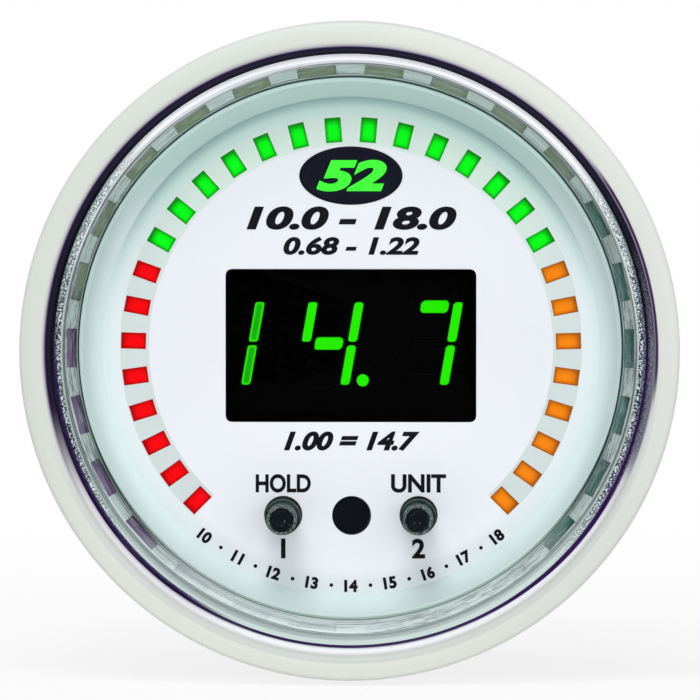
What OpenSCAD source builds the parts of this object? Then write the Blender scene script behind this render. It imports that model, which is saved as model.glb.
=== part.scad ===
// Air fuel ratio gauge for a 52 mm panel hole, with three digits, a ring of lights and two buttons.
// It is drawn face up: x runs to the right, y up the dial and z towards the driver. facing() then
// turns it, so that the face looks along -Y with +Z up. The origin lies on the axis, at the panel,
// where the back of the bezel rests. All lengths are in millimetres and all angles in degrees.

/* [Case] */
// Outer diameter of the case barrel, which goes through the panel
case_d = 52; // [51:0.5:60]
// Depth of the case behind the panel
case_depth = 34; // [30:1:60]
// Wall of the case at its mouth
case_wall = 1; // [0.8:0.1:1.4]
// Thickness of the case's back
case_back_t = 1.8; // [1.4:0.1:3]
// Thickness of the flange that the bezel is rolled over
case_flange_t = 1.2; // [0.8:0.1:2]
// Width of the shoulder inside the case that carries the display board
case_shoulder_w = 1; // [0.6:0.1:1.5]
// Chamfer round the back edge of the case
case_chamfer = 1.2; // [0.5:0.1:1.4]

/* [Bezel] */
// How far the bezel reaches past the case barrel all round
bezel_overhang = 2; // [1.8:0.1:4]
// Height of the bezel's lip in front of the gasket
bezel_lip_h = 2.8; // [2.2:0.1:5]
// Thickness of the rolled sheet
bezel_sheet = 0.7; // [0.5:0.05:0.8]
// Width of the satin rim, seen from the front
bezel_rim_w = 2.05; // [2:0.05:2.5]
// How far the polished throat narrows from the lip down to the gasket
bezel_throat_w = 0.65; // [0.4:0.05:0.9]
// Radius of the rim's outer front corner
bezel_corner_r = 1; // [0.6:0.1:1.2]
// Radius of the rim's inner lip
bezel_lip_r = 0.45; // [0.3:0.05:0.5]
// How far the rim's outer side lies below its lip
bezel_crown_drop = 0.2; // [0.1:0.05:0.4]
// Radius of the corner where the bezel meets the panel
bezel_rear_r = 0.4; // [0.2:0.1:0.5]
// How much the bezel's radius shrinks from its front to its back
bezel_draft = 0.25; // [0:0.05:0.25]

/* [Lens and rings] */
// Thickness of the lens flange that the bezel holds
lens_flange_t = 1; // [0.8:0.1:1.5]
// Height of the raised lens in front of its flange
lens_step_h = 1.8; // [1:0.1:2.2]
// Radius of the raised lens's front edge
lens_edge_r = 0.8; // [0.4:0.1:0.9]
// Thickness of the rubber gasket between the lens and the bezel
gasket_t = 0.6; // [0.4:0.1:1]
// Height of the bright ring that the lens sits on
seat_h = 2.7; // [2.2:0.1:4]
// Width of the bright cone on the seat ring
seat_cone_w = 1.1; // [0.8:0.1:1.3]
// How far the bright cone falls
seat_cone_drop = 0.8; // [0.4:0.1:1]
// Width of the notched ledge inside the cone
seat_ledge_w = 1; // [0.8:0.1:1.2]
// Number of notches round the ledge
notch_count = 26; // [12:1:40]
// Depth of each notch
notch_depth = 0.5; // [0.3:0.1:0.6]
// Width of the reflector's rim under the lens
reflector_rim_w = 0.3; // [0.2:0.05:0.5]
// How far the reflector's wall slopes inwards, from the lens to the dial
reflector_slope_w = 1.55; // [1:0.05:2]

/* [Dial] */
// Thickness of the dial
dial_t = 0.5; // [0.4:0.1:1]
// How far the dial lies below the case's mouth
dial_recess = 0.3; // [0.2:0.1:0.6]
// Radius of the circle through the middles of the lights
light_ring_r = 18.53; // [18.4:0.05:18.8]
// Width of a light's window, along the circle
light_w = 1.38; // [1:0.02:1.5]
// Length of a light's window, along the radius
light_l = 2.12; // [1.6:0.02:2.2]
// Angle from the first light to the last
light_sweep = 270; // [240:5:280]
// Number of red lights, at the left
red_count = 8; // [4:1:10]
// Number of green lights, over the top
green_count = 14; // [8:1:16]
// Number of amber lights, at the right
amber_count = 8; // [4:1:10]
// Width of the digits' opening
display_w = 21.3; // [20:0.1:22]
// Height of the digits' opening
display_h = 13; // [11:0.1:13.4]
// Height of the opening's middle above the dial's middle
display_y = 0.1; // [-0.5:0.1:0.5]
// Corner radius of the digits' opening
display_corner_r = 0.6; // [0.3:0.1:1.2]
// Width of the oval plate
badge_w = 8.74; // [6:0.02:9]
// Height of the oval plate
badge_h = 4.92; // [3:0.02:5]
// Height of the oval plate's middle above the dial's middle
badge_y = 14.6; // [13:0.1:14.7]
// Thickness of the oval plate
badge_t = 0.6; // [0.5:0.05:0.9]
// Thickness of the light baffle behind the dial
baffle_t = 4; // [3.8:0.1:6]

/* [Digits] */
// Distance between the middles of two digits
digit_pitch = 8.46; // [8.2:0.02:8.6]
// Height of the digits' middle above the dial's middle
digit_y = 0.2; // [-0.2:0.1:0.4]
// How far the second digit's middle lies from the dial's middle
digit_x = -1.9; // [-2.2:0.1:-1.6]
// Distance from a digit's middle to its upright bars
bar_x = 1.97; // [1.8:0.01:2.1]
// Height of the upright bars' middles above and below the digit's middle
bar_y = 1.84; // [1.8:0.01:1.9]
// Height of the top bar above the digit's middle
bar_top_y = 3.15; // [3:0.01:3.3]
// Length of an upright bar
upright_l = 3.35; // [3:0.01:3.4]
// Width of an upright bar
upright_w = 0.78; // [0.6:0.01:0.85]
// Length of a level bar
level_l = 2.37; // [2:0.01:2.5]
// Width of a level bar
level_w = 1.04; // [0.7:0.01:1.1]
// Diameter of the decimal point
point_d = 1.02; // [0.8:0.02:1.1]
// Distance from a digit's middle to its decimal point
point_x = 3.44; // [3.4:0.01:3.6]
// How far the numerals lean to the right
digit_slant = 10; // [0:1:12]
// Thickness of the dark filter over the digits
filter_t = 0.8; // [0.6:0.1:1.2]

/* [Buttons] */
// Distance of each button from the dial's middle line
button_x = 5.77; // [5.2:0.01:6.2]
// Height of the buttons' middles, below the dial's middle
button_y = -14.36; // [-14.8:0.02:-13.6]
// Diameter of the dial's holes for the buttons and the light sensor
dial_hole_d = 3.24; // [3.1:0.02:3.6]
// Diameter of a button's plunger
button_d = 1.92; // [1.6:0.02:2]
// Outer diameter of a button's sleeve
sleeve_d = 2.55; // [2.4:0.05:2.7]
// How far a sleeve stands in front of the lens
sleeve_proud = 0.8; // [0.4:0.1:1.2]
// How far a plunger stands in front of its sleeve
button_proud = 0.5; // [0.45:0.05:0.8]
// How far a button travels
button_travel = 0.4; // [0.2:0.05:0.4]

/* [Boards] */
// Thickness of both circuit boards
board_t = 1.6; // [1:0.1:1.6]
// Width across the flats of a board spacer
spacer_af = 4; // [3.6:0.1:4.4]
// Diameter of the board screws
screw_d = 2; // [1.6:0.1:2.2]
// Room between the control board and the case's back
rear_space = 4.1; // [4:0.1:6]

/* [Rear inlet] */
// Width of the inlet header
header_w = 14; // [13.6:0.1:16]
// Height of the inlet header
header_h = 8; // [7.6:0.1:9]
// Wall of the inlet header
header_wall = 1; // [0.8:0.1:1.2]
// Depth of the header's socket
header_depth = 9; // [8:0.1:9.6]
// How far the header stands behind the case
header_proud = 5.1; // [4:0.1:8]
// Height of the header's middle, below the gauge's middle
header_y = -13; // [-14:0.1:-12.6]
// Number of inlet pins
inlet_pin_count = 6; // [2:1:6]

/* [Mounting] */
// Diameter of the mounting studs
stud_d = 4; // [3:0.5:5]
// How far the studs lie inside the case barrel
stud_inset = 9; // [8.6:0.1:10]
// Length of a stud behind the case
stud_l = 16; // [14:0.5:30]
// Thickness of the clamp's sheet
clamp_t = 0.8; // [0.6:0.1:1]
// Width of the clamp
clamp_w = 11; // [9.5:0.5:14]
// Room for the panel between the bezel and the clamp's feet
panel_room = 3; // [1:0.5:8]
// Outer bend radius of the clamp
clamp_bend_r = 3; // [1.5:0.1:4]

/* [Hidden] */
$fn = 96;
overrun = 0.5;
quarter_turn = 90;
half_turn = 180;
full_turn = 360;

// clearances between neighbours
stack_clearance = 0.3;
slip_clearance = 0.2;
lip_clearance = 0.25;
lip_relief = 0.4;
bore_clearance = 0.04;
seat_clearance = 0.03;
cover_clearance = 0.2;
pocket_clearance = 0.15;
inlay_clearance = 0.02;
ring_gap = 0.15;
panel_side_gap = 0.85;
clamp_back_gap = 0.8;

// radii from the panel hole inwards
case_r = case_d / 2;
bezel_r = case_r + bezel_overhang;
flange_r = bezel_r - bezel_sheet - stack_clearance;
opening_r = bezel_r - bezel_rim_w;
throat_r = opening_r - bezel_throat_w;
lens_r = throat_r - slip_clearance;
cone_in_r = throat_r - seat_cone_w;
seat_bore_r = cone_in_r - seat_ledge_w;
reflector_r = seat_bore_r - ring_gap;
mouth_r = case_r - case_wall;
stack_r = mouth_r - slip_clearance;
case_bore_r = mouth_r - case_shoulder_w;
control_r = case_bore_r - stack_clearance;

// heights from the panel forwards
case_front = bezel_sheet + case_flange_t;
lens_back = case_front + seat_h;
lens_step_z = lens_back + lens_flange_t;
gasket_front = lens_step_z + gasket_t;
lens_front = lens_step_z + lens_step_h;
bezel_h = gasket_front + bezel_lip_h;
sleeve_front = lens_front + sleeve_proud;
button_front = sleeve_front + button_proud;
dial_front = case_front - dial_recess;
dial_back = dial_front - dial_t;
filter_back = dial_back - filter_t;
board_front = dial_back - baffle_t;
board_back = board_front - board_t;
case_floor = -case_depth + case_back_t;
control_back = case_floor + rear_space;
control_front = control_back + board_t;
spacer_l = board_back - control_front;
stud_x = case_r - stud_inset;

// the ring of lights
light_count = red_count + green_count + amber_count;
light_pitch = light_sweep / (light_count - 1);
light_lap = 0.1;
light_t = 0.8;
well_ledge = 0.16;
led_w = 0.8;
led_l = 1.6;
led_t = 0.6;

// the dial's locating pegs, hidden under the reflector at both sides of the buttons
peg_r = 0.6;
peg_turn = 35;
peg_circle_r = reflector_r - peg_r - ring_gap;
peg_short = 0.05;

// the digit module: which bars each digit has, which of them are lit, and the decimal points
display_lap = 0.85;
module_h_lap = 0.6;
bar_letters = "abcdefg";
all_bars = ["a", "b", "c", "d", "e", "f", "g"];
digit_bars = [["b", "c"], all_bars, all_bars];
lit_bars = [["b", "c"], ["b", "c", "f", "g"], ["a", "b", "c"]];
point_kinds = ["none", "lit", "dark"];
bar_depth = 0.4;
lead_r = 0.25;
lead_count = 8;
lead_pitch = 2.54;
lead_y = 6.2;
lead_tail = 1.2;

// the light sensor under the middle hole
sensor_window_t = 0.4;
sensor_r = 1.4;
sensor_t = 1.1;
sensor_hole_r = 1;

// the switches under the buttons
sleeve_flange_w = 0.25;
sleeve_flange_t = 0.7;
sleeve_grip = 0.9;
sleeve_edge = 0.12;
collar_w = 0.5;
collar_t = 0.3;
collar_gap = 0.2;
tip_edge_r = 0.25;
press_clearance = 0.1;
switch_w = 4.4;
switch_base_h = 1.3;
switch_floor_t = 0.4;
switch_cup_r = 1.75;
switch_cover_t = 0.2;
switch_cover_hole_r = 1.2;
stem_r = 1;
stem_flange_r = 1.5;
stem_flange_t = 0.25;
dome_r = 1.6;
dome_h = 0.5;
dome_sheet = 0.08;
dome_gap = 0.05;
dome_steps = 6;
cup_floor = board_front + switch_floor_t;
cover_back = board_front + switch_base_h;
cover_front = cover_back + switch_cover_t;
stem_front = cover_front + button_travel + press_clearance;
stem_back = cup_floor + dome_h + dome_gap;
collar_front = stem_front + collar_t;
pocket_roof = collar_front + collar_gap;
sleeve_back = dial_back - sleeve_grip;
collar_r = button_d / 2 + collar_w;
sleeve_bore_r = button_d / 2 + bore_clearance;

// fasteners and parts of the boards: the spacers stand between the digits and the lights
screw_head_r = 1.8;
screw_head_t = 1.1;
spacer_wall = 0.3;
spacer_room = screw_head_r + pocket_clearance + spacer_wall;
spacer_y = display_y + display_h / 2 + module_h_lap + slip_clearance / 2 + spacer_room;
spacer_circle_r = light_ring_r - light_l / 2 - light_lap - seat_clearance - spacer_room;
spacer_x = sqrt(spacer_circle_r * spacer_circle_r - spacer_y * spacer_y);
screw_grip = 5;
screw_fit = 0.02;
chip_leg_w = 0.4;
chip_leg_l = 0.9;
chip_leg_t = 0.3;
driver_w = 10;
driver_h = 4;
driver_t = 1.6;
driver_legs = 8;
driver_ys = [1.6, -12.4];
processor_w = 10;
processor_t = 1.5;
processor_legs = 9;
processor_y = 3.5;
regulator_w = 6.6;
regulator_l = 6.2;
regulator_t = 2.3;
regulator_tab_l = 1.6;
regulator_tab_t = 0.6;
regulator_leg_l = 2.6;
regulator_x = 11.5;
regulator_y = 0.5;
capacitor_r = 3.15;
capacitor_h = 11;
capacitor_groove = 0.3;
capacitor_edge_gap = 0.5;
capacitor_turn = 13.5;
link_pitch = 2.54;
link_columns = 4;
link_rows = 2;
link_y = 15.5;
link_wall = 1.27;
link_plug_h = 2.5;
link_socket_h = 8.5;
link_pin_w = 0.64;
link_tail = 1;
inlet_pitch = 2;
inlet_pin_w = 0.64;
inlet_pin_reach = 3.6;
inlet_tail = 1;
latch_w = 4;
latch_h = 0.8;
latch_l = 1.6;
latch_setback = 1.4;
header_l = rear_space + case_back_t + header_proud;
header_back = control_back - header_l;
header_floor = header_back + header_depth;
stud_head_r = 3.6;
stud_head_t = 2.2;
nut_af = 7;
nut_t = 3.2;
jam_nut_t = 2.2;
washer_r = 4.5;
washer_t = 0.8;
thread_clearance = 0.08;
clamp_inner_r = case_r + panel_side_gap;
clamp_outer_r = clamp_inner_r + clamp_t;
clamp_front = -case_depth - jam_nut_t - clamp_back_gap;
clamp_back = clamp_front - clamp_t;
washer_back = clamp_back - washer_t;

// Turns the gauge from face up to facing along -Y
module facing() rotate([quarter_turn, 0, 0]) children();

// Points along an arc, about a middle, from one angle to another
function arc(middle, r, from, to, steps) =
    [for (i = [0:steps]) let(a = from + (to - from) * i / steps)
        [middle[0] + r * cos(a), middle[1] + r * sin(a)]];

// A round plate between two heights
module disc(r, back, front) translate([0, 0, back]) cylinder(r = r, h = front - back);

// A round plate with a round hole
module ring(outer_r, inner_r, back, front) {
    difference() {
        disc(outer_r, back, front);
        disc(inner_r, back - overrun, front + overrun);
    }
}

// A block that is centred across and up, between two heights
module block(w, h, back, front) translate([-w / 2, -h / 2, back]) cube([w, h, front - back]);

// A block with rounded upright edges
module rounded_block(w, h, r, back, front) {
    block(w - 2 * r, h, back, front);
    block(w, h - 2 * r, back, front);
    for (level = [-1, 1])
        both_sides(w / 2 - r, level * (h / 2 - r)) disc(r, back, front);
}

// A nut or spacer of hexagonal bar
module hex_bar(across_flats, back, front) {
    translate([0, 0, back])
        cylinder(d = across_flats / cos(half_turn / 6), h = front - back, $fn = 6);
}

// Puts its children at both sides of the middle line
module both_sides(x, y) {
    for (side = [-1, 1])
        translate([side * x, y, 0]) children();
}

// Puts its children at all four board spacers
module at_spacers() {
    for (level = [-spacer_y, spacer_y])
        both_sides(spacer_x, level) children();
}

// Puts its children at the dial's two pegs
module at_pegs() {
    for (side = [-1, 1])
        rotate(side * peg_turn) translate([0, -peg_circle_r, 0]) children();
}

// Puts its children at the lights from one number up to another, all counted from the left
module at_lights(first, count) {
    for (i = [first:first + count - 1])
        rotate(light_sweep / 2 - i * light_pitch) translate([0, light_ring_r, 0]) children();
}

// The rolled front ring, which holds the lens, the rings and the case's flange together
module bezel() {
    crown = bezel_h - bezel_crown_drop;
    back_r = bezel_r - bezel_draft;
    profile = concat(
        [[case_r + lip_clearance, 0]],
        arc([back_r - bezel_rear_r, bezel_rear_r], bezel_rear_r, -quarter_turn, 0, 4),
        arc([bezel_r - bezel_corner_r, crown - bezel_corner_r], bezel_corner_r, 0, quarter_turn, 8),
        arc([opening_r + bezel_lip_r, bezel_h - bezel_lip_r], bezel_lip_r, quarter_turn, half_turn, 6),
        [[throat_r, gasket_front],
        [throat_r + bezel_sheet, gasket_front],
        [opening_r + bezel_sheet, crown - bezel_sheet],
        [bezel_r - bezel_sheet - bezel_lip_r, crown - bezel_sheet],
        [bezel_r - bezel_sheet, crown - bezel_sheet - bezel_lip_r],
        [back_r - bezel_sheet, bezel_sheet],
        [case_r + lip_clearance, bezel_sheet]]);
    facing() color([0.87, 0.88, 0.85]) rotate_extrude() polygon(profile);
}

// The rubber ring between the lens flange and the bezel's rolled edge
module bezel_gasket() {
    facing() color([0.06, 0.06, 0.07])
        ring(flange_r - slip_clearance, throat_r + ring_gap, lens_step_z, gasket_front);
}

// The clear lens: a flange under the bezel and a raised middle with a rounded edge
module lens() {
    profile = concat(
        [[0, lens_back], [flange_r, lens_back], [flange_r, lens_step_z], [lens_r, lens_step_z]],
        arc([lens_r - lens_edge_r, lens_front - lens_edge_r], lens_edge_r, 0, quarter_turn, 8),
        [[0, lens_front]]);
    facing() color([0.9, 0.96, 0.97, 0.3]) difference() {
        rotate_extrude() polygon(profile);
        both_sides(button_x, button_y)
            disc(sleeve_d / 2 + seat_clearance, lens_back - overrun, lens_front + overrun);
    }
}

// The bright ring under the lens, with a polished cone and a notched ledge
module lens_seat_ring() {
    ledge = lens_back - seat_cone_drop;
    notch_share = 0.59;
    notch_w = full_turn / notch_count * notch_share * PI * seat_bore_r / half_turn;
    notch_l = seat_ledge_w - ring_gap;
    facing() color([0.82, 0.84, 0.86]) difference() {
        rotate_extrude() polygon([
            [seat_bore_r, case_front], [flange_r, case_front], [flange_r, lens_back],
            [throat_r, lens_back], [cone_in_r, ledge], [seat_bore_r, ledge]]);
        for (i = [0:notch_count - 1])
            rotate((i + 1 / 2) * full_turn / notch_count)
                translate([-notch_w / 2, seat_bore_r + ring_gap / 2, ledge - notch_depth])
                    cube([notch_w, notch_l, notch_depth + overrun]);
    }
}

// The pale sloping wall between the dial and the lens
module reflector_ring() {
    top_in_r = reflector_r - reflector_rim_w;
    facing() color([0.72, 0.84, 0.82]) rotate_extrude() polygon([
        [top_in_r - reflector_slope_w, dial_front], [reflector_r, dial_front],
        [reflector_r, lens_back], [top_in_r, lens_back]]);
}

// Outline of the oval plate, grown by a margin
module oval(margin) {
    steps = 48;
    polygon([for (i = [0:steps - 1]) let(a = full_turn * i / steps)
        [(badge_w / 2 + margin) * cos(a), badge_y + (badge_h / 2 + margin) * sin(a)]]);
}

// The white dial, cut out for the lights, the oval, the digits, the sensor and the buttons
module dial_face() {
    facing() color([0.93, 0.95, 0.97]) difference() {
        disc(stack_r, dial_back, dial_front);
        at_lights(0, light_count) block(light_w, light_l, dial_back - overrun, dial_front + overrun);
        translate([0, display_y, 0])
            rounded_block(display_w, display_h, display_corner_r, dial_back - overrun,
                dial_front + overrun);
        translate([0, 0, dial_back - overrun])
            linear_extrude(dial_t + 2 * overrun) oval(seat_clearance);
        both_sides(button_x, button_y)
            disc(dial_hole_d / 2, dial_back - overrun, dial_front + overrun);
        translate([0, button_y, 0]) disc(dial_hole_d / 2, dial_back - overrun, dial_front + overrun);
        at_pegs() disc(peg_r + bore_clearance, dial_back - overrun, dial_front + overrun);
    }
}

// The dark oval plate, which stands on the baffle in the dial's opening
module badge_plate() {
    facing() color([0.07, 0.07, 0.14])
        translate([0, 0, dial_back]) linear_extrude(badge_t) oval(0);
}

// The dark window in front of the digits, held between the dial and the module
module display_filter() {
    facing() color([0.02, 0.02, 0.02, 0.6]) translate([0, display_y, 0])
        block(display_w + 2 * display_lap, display_h + 2 * display_lap, filter_back, dial_back);
}

// The dark round window over the light sensor
module sensor_window() {
    facing() color([0.04, 0.05, 0.08]) translate([0, button_y, 0])
        disc(dial_hole_d / 2 - bore_clearance, dial_back, dial_back + sensor_window_t);
}

// One coloured lens, which lies under its window in the dial
module light_lens() {
    block(light_w + 2 * light_lap, light_l + 2 * light_lap, dial_back - light_t, dial_back);
}

// The green lenses, over the top
module green_lenses() {
    facing() color([0, 0.95, 0.1]) at_lights(red_count, green_count) light_lens();
}

// The red lenses, at the left
module red_lenses() {
    facing() color([0.95, 0.02, 0.02]) at_lights(0, red_count) light_lens();
}

// The amber lenses, at the right
module amber_lenses() {
    facing() color([0.96, 0.53, 0.08]) at_lights(red_count + green_count, amber_count) light_lens();
}

// Hollow in the baffle for one lens, its well and its light
module light_well() {
    block(light_w + 2 * (light_lap + seat_clearance), light_l + 2 * (light_lap + seat_clearance),
        dial_back - light_t, dial_back + overrun);
    block(light_w - 2 * well_ledge, light_l - 2 * well_ledge, board_front - overrun, dial_back);
}

// The black moulding behind the dial, which keeps the lights apart and carries the lenses
module light_baffle() {
    facing() color([0.1, 0.1, 0.11]) {
        difference() {
            disc(stack_r, board_front, dial_back);
            at_lights(0, light_count) light_well();
            translate([0, display_y, 0]) {
                block(display_w + 2 * (display_lap + seat_clearance),
                    display_h + 2 * (display_lap + seat_clearance), filter_back, dial_back + overrun);
                block(display_w + 2 * display_lap, display_h + 2 * module_h_lap + slip_clearance,
                    board_front - overrun, dial_back);
            }
            both_sides(button_x, button_y) {
                block(switch_w + 2 * slip_clearance, switch_w + 2 * slip_clearance,
                    board_front - overrun, pocket_roof);
                disc(sleeve_d / 2 + seat_clearance, board_front, dial_back + overrun);
            }
            translate([0, button_y, 0]) {
                disc(sensor_r + pocket_clearance, board_front - overrun,
                    board_front + sensor_t + pocket_clearance);
                disc(sensor_hole_r, board_front, dial_back + overrun);
            }
            at_spacers()
                disc(screw_head_r + pocket_clearance, board_front - overrun,
                    board_front + screw_head_t + pocket_clearance);
        }
        at_pegs() disc(peg_r, dial_back - peg_r, dial_front - peg_short);
    }
}

// One light per window, on the display board
module bar_leds() {
    facing() color([0.93, 0.9, 0.75])
        at_lights(0, light_count) block(led_w, led_l, board_front, board_front + led_t);
}

// The sensor that dims the display after dark
module light_sensor() {
    facing() color([0.3, 0.3, 0.34]) translate([0, button_y, 0])
        disc(sensor_r, board_front, board_front + sensor_t);
}

// Outline of one bar of a digit, a to g, grown by a margin
module bar_outline(bar, margin) {
    level = bar == "a" || bar == "d" || bar == "g";
    place_shares = [[0, 1], [1, 1], [1, -1], [0, -1], [-1, -1], [-1, 1], [0, 0]];
    place_share = place_shares[search(bar, bar_letters)[0]];
    half_l = (level ? level_l : upright_l) / 2 + margin;
    half_w = (level ? level_w : upright_w) / 2 + margin;
    middle = [place_share[0] * bar_x, place_share[1] * (level ? bar_top_y : bar_y)];
    cut = half_w / 2;
    along = [[-half_l, -half_w + cut], [-half_l + cut, -half_w], [half_l - cut, -half_w],
        [half_l, -half_w + cut], [half_l, half_w - cut], [half_l - cut, half_w],
        [-half_l + cut, half_w], [-half_l, half_w - cut]];
    polygon([for (p = along)
        let(x = middle[0] + (level ? p[0] : p[1]), y = middle[1] + (level ? p[1] : p[0]))
            [x + y * tan(digit_slant), y]]);
}

// The chosen bars and decimal points of all digits, each a solid of its own
module bars(choice, dots, margin, back, front) {
    for (digit = [0:len(choice) - 1])
        translate([digit_x + (digit - 1) * digit_pitch, digit_y, back])
            linear_extrude(front - back)
                for (bar = choice[digit])
                    bar_outline(bar, margin);
    for (digit = dots)
        translate([digit_x + (digit - 1) * digit_pitch + point_x - bar_top_y * tan(digit_slant),
            digit_y - bar_top_y, back])
                cylinder(d = point_d + 2 * margin, h = front - back);
}

// The bars of a digit that are dark
function dark_bars(digit) =
    [for (bar = digit_bars[digit]) if (len([for (lit = lit_bars[digit]) if (lit == bar) lit]) == 0) bar];

// The digits whose decimal point is of one kind
function points(kind) = [for (digit = [0:len(point_kinds) - 1]) if (point_kinds[digit] == kind) digit];

// The black body of the digit module
module digit_display() {
    facing() color([0.03, 0.03, 0.03]) difference() {
        translate([0, display_y, 0])
            block(display_w + 2 * display_lap - slip_clearance, display_h + 2 * module_h_lap,
                board_front, filter_back);
        bars(digit_bars, concat(points("lit"), points("dark")), inlay_clearance,
            filter_back - bar_depth, filter_back + overrun);
    }
}

// The bars that are lit, and the decimal point
module lit_segments() {
    facing() color([0.1, 1, 0])
        bars(lit_bars, points("lit"), 0, filter_back - bar_depth, filter_back);
}

// The bars that are dark
module unlit_segments() {
    facing() color([0.12, 0.13, 0.12])
        bars([for (digit = [0:len(digit_bars) - 1]) dark_bars(digit)], points("dark"), 0,
            filter_back - bar_depth, filter_back);
}

// Puts its children at the module's leads
module at_leads() {
    for (level = [-lead_y, lead_y])
        for (i = [0:lead_count - 1])
            translate([(i - (lead_count - 1) / 2) * lead_pitch, level, 0]) children();
}

// The leads that hold the digit module in the display board
module display_leads() {
    facing() color([0.78, 0.78, 0.76]) at_leads() disc(lead_r, board_back - lead_tail, board_front);
}

// The round board behind the baffle, which sits on the case's shoulder
module display_board() {
    facing() color([0.05, 0.3, 0.16]) difference() {
        disc(stack_r, board_back, board_front);
        at_leads() disc(lead_r + pocket_clearance, board_back - overrun, board_front + overrun);
        at_spacers() disc(screw_d / 2 + slip_clearance, board_back - overrun, board_front + overrun);
    }
}

// A chip with legs along two sides, standing behind or in front of a board at the given height
module chip(w, h, legs, board_z, side, t) {
    body_back = side > 0 ? board_z : board_z - t;
    leg_back = side > 0 ? board_z : board_z - chip_leg_t;
    leg_pitch = w / legs;
    block(w, h, body_back, body_back + t);
    for (i = [0:legs - 1])
        translate([(i - (legs - 1) / 2) * leg_pitch, 0, 0])
            block(chip_leg_w, h + 2 * chip_leg_l, leg_back, leg_back + chip_leg_t);
}

// The chips that drive the lights, behind the display board
module led_drivers() {
    facing() color([0.12, 0.12, 0.13])
        for (y = driver_ys)
            translate([0, y, 0]) chip(driver_w, driver_h, driver_legs, board_back, -1, driver_t);
}

// The sleeves that stand in the lens and guide the buttons
module button_sleeves() {
    edge_r = sleeve_d / 2 - sleeve_edge;
    facing() color([0.55, 0.58, 0.6]) both_sides(button_x, button_y) rotate_extrude() polygon([
        [sleeve_bore_r, sleeve_back], [sleeve_d / 2, sleeve_back],
        [sleeve_d / 2, lens_back - sleeve_flange_t],
        [sleeve_d / 2 + sleeve_flange_w, lens_back - sleeve_flange_t],
        [sleeve_d / 2 + sleeve_flange_w, lens_back], [sleeve_d / 2, lens_back],
        [sleeve_d / 2, sleeve_front - sleeve_edge], [edge_r, sleeve_front],
        [sleeve_bore_r, sleeve_front]]);
}

// A button's plunger, from its switch to its rounded tip
module plunger() {
    r = button_d / 2;
    profile = concat(
        [[0, stem_front], [collar_r, stem_front], [collar_r, collar_front], [r, collar_front]],
        arc([r - tip_edge_r, button_front - tip_edge_r], tip_edge_r, 0, quarter_turn, 6),
        [[0, button_front]]);
    rotate_extrude() polygon(profile);
}

// The left button
module left_button() {
    facing() color([0.07, 0.08, 0.09]) translate([-button_x, button_y, 0]) plunger();
}

// The right button
module right_button() {
    facing() color([0.07, 0.08, 0.09]) translate([button_x, button_y, 0]) plunger();
}

// A switch's stem, which is caught under the switch's cover
module switch_stem() {
    disc(stem_flange_r, stem_back, stem_back + stem_flange_t);
    disc(stem_r, stem_back, stem_front);
}

// The left switch's stem
module left_switch_stem() {
    facing() color([0.16, 0.16, 0.17]) translate([-button_x, button_y, 0]) switch_stem();
}

// The right switch's stem
module right_switch_stem() {
    facing() color([0.16, 0.16, 0.17]) translate([button_x, button_y, 0]) switch_stem();
}

// A switch's sprung dome, which gives the click and pushes the button back
module switch_dome() {
    outer = [for (i = [0:dome_steps]) let(a = quarter_turn * i / dome_steps)
        [dome_r * cos(a), cup_floor + dome_sheet + (dome_h - dome_sheet) * sin(a)]];
    inner = [for (i = [dome_steps:-1:0]) let(a = quarter_turn * i / dome_steps)
        [(dome_r - dome_sheet) * cos(a), cup_floor + (dome_h - dome_sheet) * sin(a)]];
    rotate_extrude() polygon(concat([[dome_r, cup_floor]], outer, inner));
}

// The left switch's dome
module left_switch_dome() {
    facing() color([0.8, 0.78, 0.72]) translate([-button_x, button_y, 0]) switch_dome();
}

// The right switch's dome
module right_switch_dome() {
    facing() color([0.8, 0.78, 0.72]) translate([button_x, button_y, 0]) switch_dome();
}

// The switches' bases, each with a round cup for its dome
module switch_bases() {
    facing() color([0.2, 0.2, 0.22]) both_sides(button_x, button_y) difference() {
        block(switch_w, switch_w, board_front, cover_back);
        disc(switch_cup_r, cup_floor, cover_back + overrun);
    }
}

// The switches' metal covers
module switch_covers() {
    facing() color([0.75, 0.76, 0.78]) both_sides(button_x, button_y) difference() {
        block(switch_w, switch_w, cover_back, cover_front);
        disc(switch_cover_hole_r, cover_back - overrun, cover_front + overrun);
    }
}

// The hexagonal spacers that carry the control board
module board_spacers() {
    facing() color([0.78, 0.68, 0.4]) at_spacers() difference() {
        hex_bar(spacer_af, control_front, board_back);
        disc(screw_d / 2 + screw_fit, control_front - overrun, board_back + overrun);
    }
}

// The screws through both boards into the spacers
module board_screws() {
    facing() color([0.72, 0.73, 0.75]) at_spacers() {
        disc(screw_head_r, board_front, board_front + screw_head_t);
        disc(screw_d / 2, board_back - screw_grip, board_front + screw_head_t);
        disc(screw_head_r, control_back - screw_head_t, control_back);
        disc(screw_d / 2, control_back - screw_head_t, control_front + screw_grip);
    }
}

// Puts its children at the pins that link the boards
module at_link_pins() {
    for (i = [0:link_columns - 1])
        for (j = [0:link_rows - 1])
            translate([(i - (link_columns - 1) / 2) * link_pitch,
                link_y + (j - (link_rows - 1) / 2) * link_pitch, 0]) children();
}

// Puts its children at the inlet's pins
module at_inlet_pins() {
    for (i = [0:inlet_pin_count - 1])
        translate([(i - (inlet_pin_count - 1) / 2) * inlet_pitch, header_y, 0]) children();
}

// The round board at the back, which carries the inlet
module control_board() {
    facing() color([0.05, 0.3, 0.16]) difference() {
        disc(control_r, control_back, control_front);
        at_spacers() disc(screw_d / 2 + slip_clearance, control_back - overrun, control_front + overrun);
        at_link_pins() disc(link_pin_w, control_back - overrun, control_front + overrun);
        at_inlet_pins() disc(inlet_pin_w, control_back - overrun, control_front + overrun);
    }
}

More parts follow.
